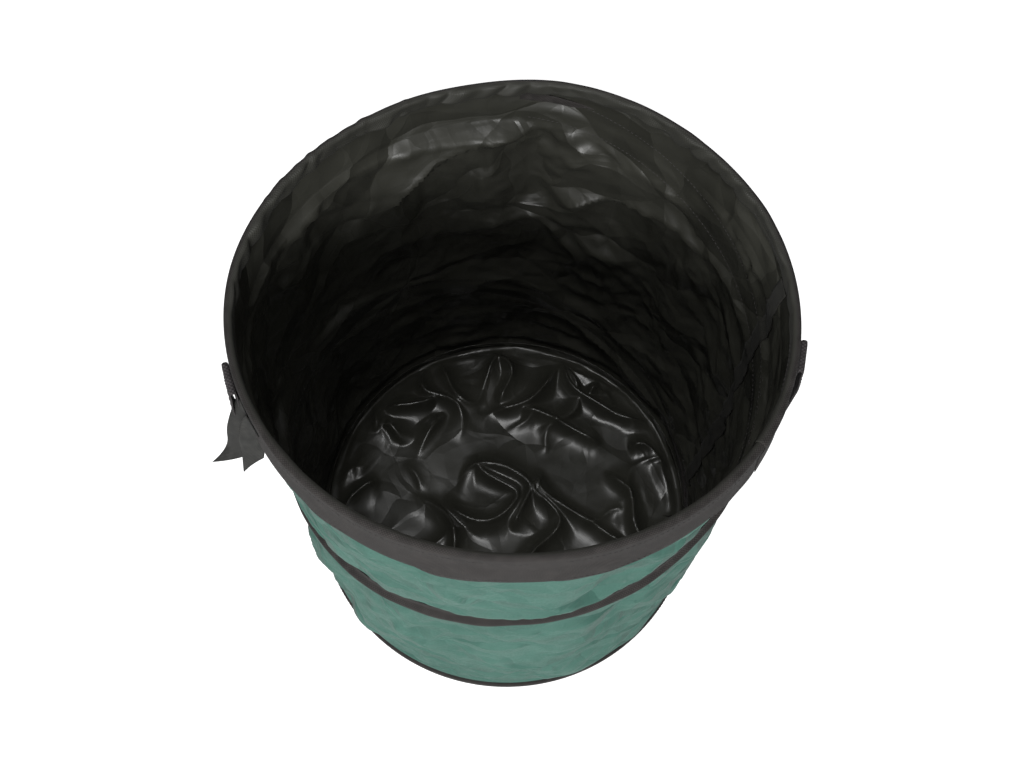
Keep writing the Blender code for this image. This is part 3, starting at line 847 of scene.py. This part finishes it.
def build_floor():
    """The floor: a disc cut larger than its ring, crumpled on the ground, its edge turned up inside the wall.

    A square grid is drawn out to a disc: x grows with u and shrinks as v reaches the side, y likewise.
    It settles there, is evened and drawn out to a fine grid, and gets the sharp crests of pinched folds.
    """
    edge = WALL_RADIUS - FABRIC - 2 * CLEARANCE
    whole = edge - FLOOR_FOLD_RADIUS + FLOOR_FOLD_RADIUS * math.pi / 2 + FLOOR_UPTURN - FLOOR_FOLD_RADIUS
    u, v = np.meshgrid(np.linspace(-1, 1, FLOOR_CELLS), np.linspace(-1, 1, FLOOR_CELLS))
    x, y = whole * u * np.sqrt(1 - v ** 2 / 2), whole * v * np.sqrt(1 - u ** 2 / 2)
    reach = np.hypot(x, y)
    azimuth = np.arctan2(y, x)
    radius, height = floor_section(reach, edge)
    loose = smooth(whole - reach, FLOOR_UPTURN, FLOOR_UPTURN + 0.03)
    crumpled = np.abs(0.006 * ripple(x, y, 0.14, 7, 5.0) + 0.0008 * ripple(x, y, 0.06, 8, 5.0))
    start = polar(radius, azimuth, FABRIC + 0.0004 + height + loose * crumpled)
    mesh = mesh_from_grid("floor_cloth", start, pattern=np.stack([x, y], axis=-1))
    floor = add_object("floor_cloth", mesh, black_coating)
    if SIMULATED:
        bpy.ops.mesh.primitive_plane_add(size=2, location=(0, 0, 0))
        ground = bpy.context.object
        ground.modifiers.new("hit", "COLLISION")
        ground.collision.thickness_outer = 0.001
        held = reach > edge - FLOOR_FOLD_RADIUS - 0.002
        cut = polar(radius * FLOOR_CUT_SHARE, azimuth, height)
        places = settled(floor, held, cut, 24, 0.1, 0.5, ground=True)
        bpy.data.objects.remove(ground)
        start = places.reshape(start.shape)
    bpy.data.objects.remove(floor)

    def finer(field):
        rows_drawn = drawn_out(field, FINER_FLOOR, False)
        return np.swapaxes(drawn_out(np.swapaxes(rows_drawn, 0, 1), FINER_FLOOR, False), 0, 1)

    flat = finer(np.stack([x, y], axis=-1))
    loose = smooth(whole - reach, FLOOR_UPTURN + 0.002, FLOOR_UPTURN + 0.02)[..., None]
    start = start + loose * (evened(evened(start)) - start)
    points = finer(start)
    x, y = flat[..., 0], flat[..., 1]
    loose = smooth(whole - np.hypot(x, y), FLOOR_UPTURN + 0.002, FLOOR_UPTURN + 0.03)
    ridges = 0.0150 * pinches(x, y, 0.125, 0.0090, (81, 82, 83, 86), girth=5.0)
    ridges += 0.0040 * pinches(x, y, 0.080, 0.0060, (84,), girth=5.0)
    points[..., 2] = np.maximum(points[..., 2] + loose * ridges, FABRIC + 0.0003)
    mesh = mesh_from_grid("floor_cloth", points, pattern=flat)
    return applied(thicken(add_object("floor_cloth", mesh, floor_coating), FABRIC))


def lengths_along(section):
    """Distance along a section, (points, 2), from its first point."""
    return np.concatenate([[0], np.cumsum(np.hypot(*np.diff(section, axis=0).T))])


def rim_flare(height):
    """How far the rim tape's outside stands out at a height: none near the top, most at its edge."""
    return RIM_FLARE * np.clip((BAG_HEIGHT - RIM_FLARE_DEPTH - height) / RIM_FLARE_REACH, 0, 1)


def rim_section():
    """The rim tape's section: up the outside from a flared edge, over the wire and down the inside."""
    inner = RIM_INNER_RADIUS
    half = (BINDING_RADIUS - inner) / 2
    turn = np.linspace(0, math.pi, 11)
    top = [(inner + half + half * math.cos(a), BAG_HEIGHT - half + half * math.sin(a)) for a in turn]
    low = np.linspace(RIM_EDGE_Z, BAG_HEIGHT - half, 14)[:-1]
    outside = list(zip(BINDING_RADIUS + rim_flare(low), low))
    down = [(inner, z) for z in np.linspace(BAG_HEIGHT - half, BAG_HEIGHT - RIM_INNER_DEPTH, 7)[1:]]
    return np.array(outside + top + down)


def section_normals(section):
    """Outward unit normals of a section: its run turned by a quarter."""
    run = np.gradient(section, axis=0)
    normal = np.stack([run[:, 1], -run[:, 0]], axis=-1)
    return normal / np.linalg.norm(normal, axis=1, keepdims=True)


def rim_waves(azimuth, height):
    """Small waves of the rim tape, more at its lower edge, and tight gathers at the back left."""
    across = azimuth * WALL_RADIUS
    low = 1 - smooth(height, RIM_EDGE_Z, BAG_HEIGHT - 0.006)
    waves = (0.0002 + 0.0005 * low) * ripple(across, height, 0.045, 31)
    degrees = np.mod(np.degrees(azimuth), 360)
    gathered = smooth(degrees, 84, 104) * (1 - smooth(degrees, 150, 172))
    slant = across + 0.35 * (height - BAG_HEIGHT)
    return waves + 0.0005 * gathered * ripple(slant, height * 0.15, 0.010, 33)


def build_rim_tape():
    """The rim tape: one strip round the rim whose end lies over its beginning, wrinkled inside at the back."""
    section = rim_section()
    normal = section_normals(section)
    start, whole = math.radians(RIM_TAPE_START), TAU + math.radians(RIM_TAPE_OVERLAP)
    azimuth = start + np.linspace(0, whole, 740)[None, :]
    radius, height = section[:, :1], section[:, 1:]
    over = (TAPE + 0.0003) * (1 - smooth(azimuth - start, math.radians(8), math.radians(13)))
    inside = np.linspace(0, 1, len(section))[:, None] > 0.72
    wrinkled = 0.0022 * np.abs(ripple(azimuth * WALL_RADIUS, height, 0.026, 37, stretch=1.6, slant=0.6))
    behind = smooth(np.sin(azimuth), -0.3, 0.2)
    offset = over + np.maximum(rim_waves(azimuth, height), -0.0001) + inside * wrinkled * behind
    out = radius + normal[:, :1] * offset + lean_out(azimuth, height)
    edge = np.where(height < RIM_EDGE_Z + 1e-6, 0.0007 * ripple(azimuth * WALL_RADIUS, 0, 0.06, 35), 0)
    points = polar(out, azimuth, height + normal[:, 1:] * offset + edge)
    pattern = np.stack(np.broadcast_arrays(azimuth * WALL_RADIUS, lengths_along(section)[:, None]), axis=-1)
    mesh = mesh_from_grid("rim_tape", points, pattern=pattern)
    return applied(thicken(add_object("rim_tape", mesh, rim_binding), TAPE))


def base_section():
    """The base tape's section: under the wall's foot, round a fold, up the outside and in over the wire."""
    fold = BASE_TAPE_FOLD
    turn = np.linspace(0, math.pi / 2, 5)
    profile = [(WALL_RADIUS - FABRIC, 0.0001), ((WALL_RADIUS + BINDING_RADIUS) / 2, 0.0001)]
    profile += [(BINDING_RADIUS - fold + fold * math.sin(a), 0.0001 + fold - fold * math.cos(a)) for a in turn]
    profile += [(BINDING_RADIUS, z) for z in np.linspace(2 * fold, BASE_TAPE_TOP - 0.0018, 5)]
    profile.append((BINDING_RADIUS - 0.0010, BASE_TAPE_TOP - 0.0006))
    profile.append((WALL_RADIUS + TAPE + 0.0006, BASE_TAPE_TOP))
    return np.array(profile)


def base_wave(azimuth, height):
    """Small waves of the base tape, none at the ground."""
    return 0.0005 * smooth(height, 0.004, 0.03) * ripple(azimuth * WALL_RADIUS, height, 0.05, 41)


def build_base_tape():
    """The base tape: down over the last turn of wire and folded under the wall."""
    section = base_section()
    azimuth = np.linspace(0, TAU, 480, endpoint=False)[None, :]
    radius, height = section[:, :1], section[:, 1:]
    points = polar(radius + base_wave(azimuth, height) + lean_out(azimuth, height), azimuth, height)
    pattern = np.stack(np.broadcast_arrays(azimuth * WALL_RADIUS, lengths_along(section)[:, None]), axis=-1)
    mesh = mesh_from_grid("base_tape", points, wrap=True, pattern=pattern)
    return applied(thicken(add_object("base_tape", mesh, binding_tape), TAPE))


def sleeve_way(count):
    """Evenly spaced degrees along the wire's way, over the stretch that the sleeve covers, from its foot."""
    way = np.linspace(360, 360 + FALL_DEGREES, 20001)
    height = wire_height(way)
    covered = way[(height <= SLEEVE_TOP_Z) & (height >= SLEEVE_FOOT_Z)]
    return np.linspace(covered[-1], covered[0], count)


def sleeve_points(degrees, rise, lift=0.0):
    """Points of the sleeve's outer face at a rise from the wire: flat at its edges, raised over the wire."""
    azimuth = np.radians(WIRE_START_DEGREES - degrees)
    bulge = np.exp(-(np.abs(rise) / SLEEVE_RIDGE_HALF) ** 3)
    radius = SLEEVE_EDGE_RADIUS + (SLEEVE_RIDGE_RADIUS - SLEEVE_EDGE_RADIUS) * bulge
    height = np.maximum(wire_height(degrees) + rise, 0.0045)
    wave = 0.0003 * ripple(azimuth * WALL_RADIUS, height, 0.030, 51)
    return polar(radius + wave + lift + lean_out(azimuth, height), azimuth, height)


def build_sleeve():
    """The tape sleeve over the falling stretch of the wire."""
    degrees = sleeve_way(560)[None, :]
    rise = (np.linspace(-1, 1, 25) * SLEEVE_WIDTH / 2)[:, None]
    along = np.radians(WIRE_START_DEGREES - degrees) * WALL_RADIUS
    pattern = np.stack(np.broadcast_arrays(along, rise), axis=-1)
    mesh = mesh_from_grid("sleeve_tape", sleeve_points(degrees, rise), pattern=pattern)
    return applied(thicken(add_object("sleeve_tape", mesh, binding_tape), 0.0008))


def tube_on_way(name, degrees, radii, shift, sides, material):
    """A tube along the wire's way whose ring radii shrink to a point at both ends."""
    azimuth = np.radians(WIRE_START_DEGREES - degrees)[:, None]
    around = np.linspace(0, TAU, sides, endpoint=False)[None, :]
    centre = wire_height(degrees)[:, None]
    hem = HEM_SHIFT * smooth(centre, HEM_Z, HEM_Z + HEM_HEIGHT)
    out = WIRE_PATH_RADIUS + shift + hem + lean_out(azimuth, centre)
    radii = np.asarray(radii)[:, None]
    points = polar(out + radii * np.cos(around), azimuth, centre + radii * np.sin(around))
    ends = np.stack([points[0].mean(axis=0), points[-1].mean(axis=0)])
    rings = grid_faces(len(degrees), sides, True)
    body = np.concatenate([rings[:, [0, 1, 2]], rings[:, [0, 2, 3]]])
    side = np.arange(sides)
    tip = len(degrees) * sides
    first = np.stack([(side + 1) % sides, side, np.full(sides, tip)], axis=-1)
    base = tip - sides
    last = np.stack([base + side, base + (side + 1) % sides, np.full(sides, tip + 1)], axis=-1)
    points = np.concatenate([points.reshape(-1, 3), ends])
    faces = faced_out(points, np.concatenate([body, first, last]))
    return add_object(name, mesh_from_arrays(name, points, faces), material)


def build_wire():
    """The spring wire: a round tube along its whole way."""
    degrees = np.linspace(0, WHOLE_WAY, 900)
    return tube_on_way("wire_tube", degrees, np.full(degrees.shape, WIRE_RADIUS), 0.0, 8, spring_steel)


def build_cap(name, start, end):
    """A moulded cap over one end of the wire: a short thick tube with a rounded crown."""
    share = np.array([0, 0.02, 0.06, 0.12, 0.5, 0.97, 1.0])
    size = np.array([0.55, 0.85, 0.97, 1.0, 1.0, 1.0, 0.97])
    return tube_on_way(name, start + (end - start) * share, CAP_RADIUS * size, -0.0003, 14, cap_plastic)


def band_on(name, path, out, side, width, thickness, spans, rows, material, closed=False):
    """A woven band carried along a path: a flat rounded section whose selvedges thin a little.

    path, out and side hold the places, the directions that the band's face looks and those across it.
    spans gives the distances along the path at which each column begins and ends, so an end can slant.
    """
    run = np.concatenate([[0], np.cumsum(np.linalg.norm(np.diff(path, axis=0), axis=1))])
    columns = 13
    across = np.linspace(-0.5, 0.5, columns)
    begin, end = spans(across)
    share = np.linspace(0, 1, rows, endpoint=not closed)[:, None]
    along = begin[None, :] + (end - begin)[None, :] * share

    def at(values):
        return np.stack([np.interp(along, run, values[:, k]) for k in range(3)], axis=-1)

    centre, facing, sideways = at(path), at(out), at(side)
    half = (thickness / 2) * (1 - 0.55 * np.abs(2 * across) ** 10)
    middle = centre + sideways * (across * width)[None, :, None]
    upper = middle + facing * half[None, :, None]
    lower = middle - facing * half[None, :, None]
    points = np.concatenate([upper, lower[:, ::-1]], axis=1)
    ring = 2 * columns
    faces = grid_faces(rows, ring, True)
    if closed:
        last = (rows - 1) * ring + np.arange(ring)
        first = np.arange(ring)
        joined = np.stack([last, np.roll(last, -1), np.roll(first, -1), first], axis=-1)
        faces = np.concatenate([faces, joined])
    else:
        k = np.arange(columns - 1)
        cap = np.stack([k + 1, k, ring - 1 - k, ring - 2 - k], axis=-1)
        faces = np.concatenate([faces, cap, (cap + (rows - 1) * ring)[:, ::-1]])
    flat_across = np.concatenate([across, across[::-1]]) * width
    flat_along = np.concatenate([along, along[:, ::-1]], axis=1)
    places = np.stack(np.broadcast_arrays(flat_across[None, :], flat_along), axis=-1).reshape(-1, 2)
    points = points.reshape(-1, 3)
    faces = faced_out(points, faces)
    return add_object(name, mesh_from_arrays(name, points, faces, places[faces]), material)


def handle_path(count=120):
    """The handle's loop in its own plane: over the top, down the outside, round the foot and up the inside.

    The two runs are straight lines joined by two round bends, pushed out below the top by the tape's flare.
    """
    top, foot = HANDLE_TOP_BEND, HANDLE_FOOT_BEND
    foot_x, foot_y = foot - top, foot - (HANDLE_DROP - top)
    spread = 2 * math.atan2(foot_x, -foot_y)
    corner = []
    for x, y, radius, begin, end in ((0, 0, top, math.pi, spread), (foot_x, foot_y, foot, spread, -math.pi)):
        angle, middle = np.linspace(begin, end, 25), radius - WEBBING / 2
        corner.append(np.stack([x + middle * np.cos(angle), y + middle * np.sin(angle)], -1))
    loop = np.concatenate([corner[0], corner[1], corner[0][:1]])
    run = lengths_along(loop)
    steps = np.linspace(0, run[-1], count)
    x, y = np.interp(steps, run, loop[:, 0]), np.interp(steps, run, loop[:, 1])
    return x + HANDLE_LEAN * smooth(-y, 0.0, HANDLE_LEAN_DROP), y


def build_handle(name):
    """A webbing loop sewn to the outside of the rim and hanging down."""
    azimuth = math.radians(HANDLE_AZIMUTHS[name])
    x, y = handle_path()
    out, side = outward(azimuth), outward(azimuth + math.pi / 2)
    hinge = polar(HANDLE_RADIUS + wobble(azimuth), azimuth, HANDLE_TOP_Z)
    path = hinge + x[:, None] * out + y[:, None] * np.array([0.0, 0.0, 1.0])
    tangent = np.gradient(path, axis=0)
    facing = np.cross(np.broadcast_to(side, tangent.shape), tangent)
    facing /= np.linalg.norm(facing, axis=1, keepdims=True)
    length = np.linalg.norm(np.diff(path, axis=0), axis=1).sum()
    sideways = np.broadcast_to(side, path.shape)

    def spans(across):
        return np.zeros(across.shape), np.full(across.shape, length)

    name = name + "_webbing"
    return band_on(name, path, facing, sideways, WEBBING_WIDTH, WEBBING, spans, 110, strap_webbing, closed=True)


def build_tie(name):
    """A ribbon tail: hangs from the tape, sways, curls away from the wall and twists, with a slanted cut end.

    Lift, twist and sway are angles along its run, joined through their values at even shares of it.
    """
    tie = TIES[name]
    azimuth = math.radians(tie["azimuth"])
    out, side = outward(azimuth), outward(azimuth + math.pi / 2)
    up = np.array([0.0, 0.0, 1.0])

    def along(key):
        values = tie[key]
        bell = np.hanning(17)
        bent = np.interp(np.linspace(-0.13, 1.13, TIE_STEPS + 16), np.linspace(0, 1, len(values)), values)
        return np.radians(np.convolve(bent, bell / bell.sum(), mode="valid"))[:, None]

    lift, twist, sway = along("lifts"), along("twists"), along("sways")
    down = out * np.sin(lift) - up * np.cos(lift)
    way = down * np.cos(sway) + side * np.sin(sway)
    start = polar(BINDING_RADIUS + 0.0010 + wobble(azimuth), azimuth, TIE_TOP_Z)
    steps = way[:-1] * tie["long"] / (TIE_STEPS - 1)
    path = start + np.concatenate([np.zeros((1, 3)), np.cumsum(steps, axis=0)])
    level = side * np.cos(sway) - down * np.sin(sway)
    facing = out * np.cos(lift) + up * np.sin(lift)
    sideways = level * np.cos(twist) + facing * np.sin(twist)
    facing = facing * np.cos(twist) - level * np.sin(twist)

    def spans(across):
        return np.zeros(across.shape), tie["long"] + (tie["short"] - tie["long"]) * (across + 0.5)

    return band_on(name + "_ribbon", path, facing, sideways, RIBBON_WIDTH, RIBBON, spans, 44, tie_ribbon)


def build_seam_tape():
    """The tape over the side seam, up the inside of the wall: a strip that lies on the wall's own shape."""
    half = SEAM_TAPE_WIDTH / 2
    heights = np.linspace(SEAM_LOW.z + 0.001, SEAM_HIGH.z + 0.003, 150)
    across, height = np.meshgrid(np.linspace(-half, half, 9), heights)
    azimuth = math.radians(SEAM_AZIMUTH) + across / WALL_RADIUS
    points = wall_at(azimuth, height) - (FABRIC + CLEARANCE) * outward(azimuth)
    mesh = mesh_from_grid("seam_tape", points, pattern=np.stack([across, height], axis=-1))
    return applied(thicken(add_object("seam_tape", mesh, seam_binding), TAPE))


def stitch_mesh(name, rows):
    """Thread stitches along rows of points: each is a small capsule between two places, half sunk in the cloth.

    rows holds (points, outward directions) pairs. A row is walked at an even pitch, and every
    stitch copies one template of three rings of five points and two poles, turned to the row.
    """
    begin, end, facing = [], [], []
    for points, out in rows:
        run = np.concatenate([[0], np.cumsum(np.linalg.norm(np.diff(points, axis=0), axis=1))])
        marks = np.arange(STITCH_PITCH / 2, run[-1] - STITCH_LENGTH, STITCH_PITCH)
        for places, ahead in ((begin, 0.0), (end, STITCH_LENGTH)):
            places.append(np.stack([np.interp(marks + ahead, run, points[:, k]) for k in range(3)], -1))
        facing.append(np.stack([np.interp(marks, run, out[:, k]) for k in range(3)], -1))
    begin, end, facing = (np.concatenate(part) for part in (begin, end, facing))
    way = end - begin
    length = np.linalg.norm(way, axis=1, keepdims=True)
    way = way / length
    side = np.cross(facing, way)
    side /= np.linalg.norm(side, axis=1, keepdims=True)
    facing = np.cross(way, side)
    around = np.linspace(0, TAU, 5, endpoint=False)
    rings = ((0.1, 0.75), (0.5, 1), (0.9, 0.75))
    ring = [(share, size * math.cos(a), size * math.sin(a)) for share, size in rings for a in around]
    template = np.array(ring + [(0.0, 0.0, 0.0), (1.0, 0.0, 0.0)])
    arch = 1 - (2 * template[:, 0] - 1) ** 2
    points = (
        begin[:, None, :]
        + way[:, None, :] * length[:, None] * template[None, :, :1]
        + side[:, None, :] * THREAD_RADIUS * template[None, :, 1:2]
        + facing[:, None, :] * THREAD_RADIUS * (template[:, 2] + 0.9 * arch - 0.35)[None, :, None]
    )
    faces = []
    for k in range(5):
        j = (k + 1) % 5
        faces += [(15, j, k), (16, 10 + k, 10 + j)]
        for low in (0, 5):
            faces += [(low + k, low + j, low + 5 + j), (low + k, low + 5 + j, low + 5 + k)]
    faces = faced_out(template, np.array(faces))
    shifted = faces[None, :, :] + (np.arange(len(begin)) * 17)[:, None, None]
    points = points.reshape(-1, 3)
    return add_object(name, mesh_from_arrays(name, points, faced_out(points, shifted.reshape(-1, 3))), thread)


def ring_row(radius, azimuth, height, facing=1.0):
    """A row of stitch places round the bag, and the directions that they face."""
    return polar(radius, azimuth, height), facing * outward(azimuth)


def rim_stitches():
    """Rows through the rim tape: near its outer edge, and near its inner edge outside and inside."""
    azimuth = np.radians(np.linspace(-36.5, 322.5, 1400))
    rows = []
    for height in (RIM_EDGE_Z + 0.003, BAG_HEIGHT - RIM_INNER_DEPTH + 0.0025):
        level = np.full(azimuth.shape, height)
        radius = BINDING_RADIUS + rim_flare(level) + lean_out(azimuth, level) + rim_waves(azimuth, level)
        rows.append(ring_row(radius, azimuth, level))
    radius = RIM_INNER_RADIUS - rim_waves(azimuth, level) + lean_out(azimuth, level)
    rows.append(ring_row(radius, azimuth, level, -1.0))
    return stitch_mesh("rim_stitches", rows)


def base_stitches():
    """A row through the base tape, near its top edge."""
    azimuth = np.linspace(0, TAU, 1400)
    section = base_section()
    level = np.full(azimuth.shape, BASE_TAPE_TOP - 0.0025)
    outside = np.interp(level, section[2:, 1], section[2:, 0])
    radius = outside + base_wave(azimuth, level) + lean_out(azimuth, level)
    return stitch_mesh("base_stitches", [ring_row(radius, azimuth, level)])


def sleeve_stitches():
    """A row along each edge of the sleeve, seen on the outside and, through the cloth, on the inside."""
    degrees = sleeve_way(2400)[8:-8]
    azimuth = np.radians(WIRE_START_DEGREES - degrees)
    rows = []
    for rise in (-SLEEVE_SEAM_RISE, SLEEVE_SEAM_RISE):
        rows.append((sleeve_points(degrees, np.full(degrees.shape, rise)), outward(azimuth)))
        height = wire_height(degrees) + rise
        inside = (height < BAG_HEIGHT - RIM_INNER_DEPTH - 0.004) & (height > FLOOR_UPTURN + 0.004)
        facing = outward(azimuth)
        rows.append(((wall_at(azimuth, height) - FABRIC * facing)[inside], -facing[inside]))
    return stitch_mesh("sleeve_stitches", rows)


def handle_stitches(name):
    """A stitched box with a cross on the flat of the handle just under its top bend."""
    azimuth = math.radians(HANDLE_AZIMUTHS[name])
    x, y = handle_path()
    out, side = outward(azimuth), outward(azimuth + math.pi / 2)
    face = HANDLE_RADIUS + wobble(azimuth) + HANDLE_TOP_BEND + 0.0006
    half, top, foot = 0.0115, HANDLE_TOP_Z - 0.006, HANDLE_TOP_Z - 0.032
    box = [(-half, top), (half, top), (half, foot), (-half, foot), (-half, top)]
    corners = box + [(half, foot), (-half, foot), (half, top)]
    rows = []
    for (a, low), (b, high) in zip(corners[:-1], corners[1:]):
        share = np.linspace(0, 1, 40)
        across, level = a + (b - a) * share, low + (high - low) * share
        below = HANDLE_TOP_Z - level
        down = np.clip(below / 0.109, 0, 1)
        reach = face + HANDLE_LEAN * smooth(below, 0.0, HANDLE_LEAN_DROP) + 0.0006 * down - 0.0006
        points = out[None, :] * reach[:, None] + side[None, :] * across[:, None]
        points[:, 2] = level
        rows.append((points, np.broadcast_to(out, points.shape)))
    return stitch_mesh(name + "_stitches", rows)


def settle_in(piece, body, *nodes, slot, anchor=None, keep=COLLAPSED_SHARE):
    """Puts a finished piece on its body in place of CAD nodes. The slot is not used.

    A piece with an anchor height gets a mesh of its own.
    """
    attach(piece, body)
    if nodes:
        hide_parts(*nodes)
    if anchor is not None:
        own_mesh(piece)
    return piece


wall = settle_in(build_wall(), "base", "wall_panel", slot="green_fabric", anchor=0)
floor = settle_in(build_floor(), "base", "floor_panel", slot="black_fabric")
rim_tape = settle_in(build_rim_tape(), "rim", "rim_binding", slot="tape")
base_tape = settle_in(build_base_tape(), "base", "base_binding", slot="tape")
sleeve = settle_in(build_sleeve(), "base", "spiral_sleeve", slot="tape", anchor=0)
seam_tape = settle_in(build_seam_tape(), "base", "side_seam_tape", slot="tape", anchor=0)
settle_in(build_wire(), "base", "spring_wire", slot="spring_steel", anchor=0)
settle_in(build_cap("rim_cap", -0.4, CAP_DEGREES), "rim", "rim_wire_cap", slot="cap_plastic")
base_cap = build_cap("base_cap", WHOLE_WAY + 0.4, WHOLE_WAY - CAP_DEGREES)
settle_in(base_cap, "base", "base_wire_cap", slot="cap_plastic")
settle_in(rim_stitches(), "rim", slot="tape")
settle_in(base_stitches(), "base", slot="tape")
settle_in(sleeve_stitches(), "base", slot="tape", anchor=0)

for handle in HANDLE_AZIMUTHS:
    settle_in(build_handle(handle), handle, handle, slot="webbing", anchor=HANDLE_TOP_Z, keep=LOOSE_SHARE)
    settle_in(handle_stitches(handle), handle, slot="webbing", anchor=HANDLE_TOP_Z, keep=LOOSE_SHARE)

for tail in TIES:
    settle_in(build_tie(tail), tail, tail, slot="ribbon", anchor=TIE_TOP_Z, keep=LOOSE_SHARE)


def build_stage():
    """A pale floor that keeps the object's shadow and is white to the camera."""
    half, drop = 4.0, -0.0004
    corners = np.array([(-half, -half, drop), (half, -half, drop), (half, half, drop), (-half, half, drop)])
    mesh = mesh_from_arrays("stage_floor", corners, np.array([[0, 1, 2, 3]]))
    material, n, shader = new_material("pale_floor")
    shader.inputs["Base Color"].default_value = (0.86, 0.86, 0.86, 1)
    shader.inputs["Roughness"].default_value = 0.9
    path = n.add("ShaderNodeLightPath")
    strength = n.math("MULTIPLY", path.outputs["Is Camera Ray"], 0.76)
    glow = n.add("ShaderNodeEmission", {"Color": (1, 1, 1, 1), "Strength": strength})
    both = n.add("ShaderNodeAddShader", {0: shader.outputs[0], 1: glow.outputs[0]})
    n.put(both.outputs[0], n.tree.nodes["Material Output"].inputs["Surface"])
    add_object("stage_floor", mesh, material)


def build_world():
    """An even grey studio, which the camera sees as white."""
    world = bpy.data.worlds.new("studio")
    bpy.context.scene.world = world
    world.use_nodes = True
    n = Nodes(world.node_tree)
    back = world.node_tree.nodes["Background"]
    path = n.add("ShaderNodeLightPath")
    seen = n.math("MAXIMUM", path.outputs["Is Camera Ray"], path.outputs["Is Transmission Ray"])
    back.inputs["Color"].default_value = (1, 1, 1, 1)
    n.put(n.ramp(seen, 0, 1, 0.155, 1.0), back.inputs["Strength"])


def frame_of(back, right_hint):
    """A turn whose third axis is back and whose first lies along the hint as far as it can."""
    back = np.asarray(back, float) / np.linalg.norm(back)
    side = np.asarray(right_hint, float)
    side = side / np.linalg.norm(side)
    up = np.cross(back, side)
    return Matrix(np.array([side, up, back]).T.tolist()).to_4x4()


def add_softbox(name, place, target, size, power):
    """A rectangular area lamp at a place, turned to a target."""
    lamp = bpy.data.lights.new(name, "AREA")
    lamp.shape = "RECTANGLE"
    lamp.size, lamp.size_y = size
    lamp.energy = power
    item = bpy.data.objects.new(name, lamp)
    back = np.array(place, float) - np.array(target, float)
    item.matrix_world = Matrix.Translation(place) @ frame_of(back, np.cross((0, 0, 1), back))
    bpy.context.scene.collection.objects.link(item)


def build_camera():
    """The camera of the photograph: place, pitch, yaw and roll from the fit."""
    pitch, yaw, roll = (math.radians(a) for a in (CAMERA_PITCH, CAMERA_YAW, CAMERA_ROLL))
    forward = np.array([math.sin(yaw) * math.cos(pitch), math.cos(yaw) * math.cos(pitch), -math.sin(pitch)])
    side = np.cross(forward, (0, 0, 1))
    side /= np.linalg.norm(side)
    up = np.cross(side, forward)
    data = bpy.data.cameras.new("photo_camera")
    data.sensor_width = SENSOR_WIDTH
    data.lens = CAMERA_FOCUS_PIXELS * SENSOR_WIDTH / PICTURE_WIDTH
    camera = bpy.data.objects.new("photo_camera", data)
    right = math.cos(roll) * side + math.sin(roll) * up
    camera.matrix_world = Matrix.Translation(CAMERA_PLACE) @ frame_of(-forward, right)
    bpy.context.scene.collection.objects.link(camera)
    bpy.context.scene.camera = camera


build_stage()
build_world()
add_softbox("front_softbox", (-0.28, -2.0, 1.14), (0, 0, 0.25), (1.0, 0.6), 40)
add_softbox("top_softbox", (-0.3, -0.1, 2.3), (0, 0, 0.1), (0.8, 0.45), 14)
build_camera()
bpy.context.scene.view_settings.view_transform = "Standard"
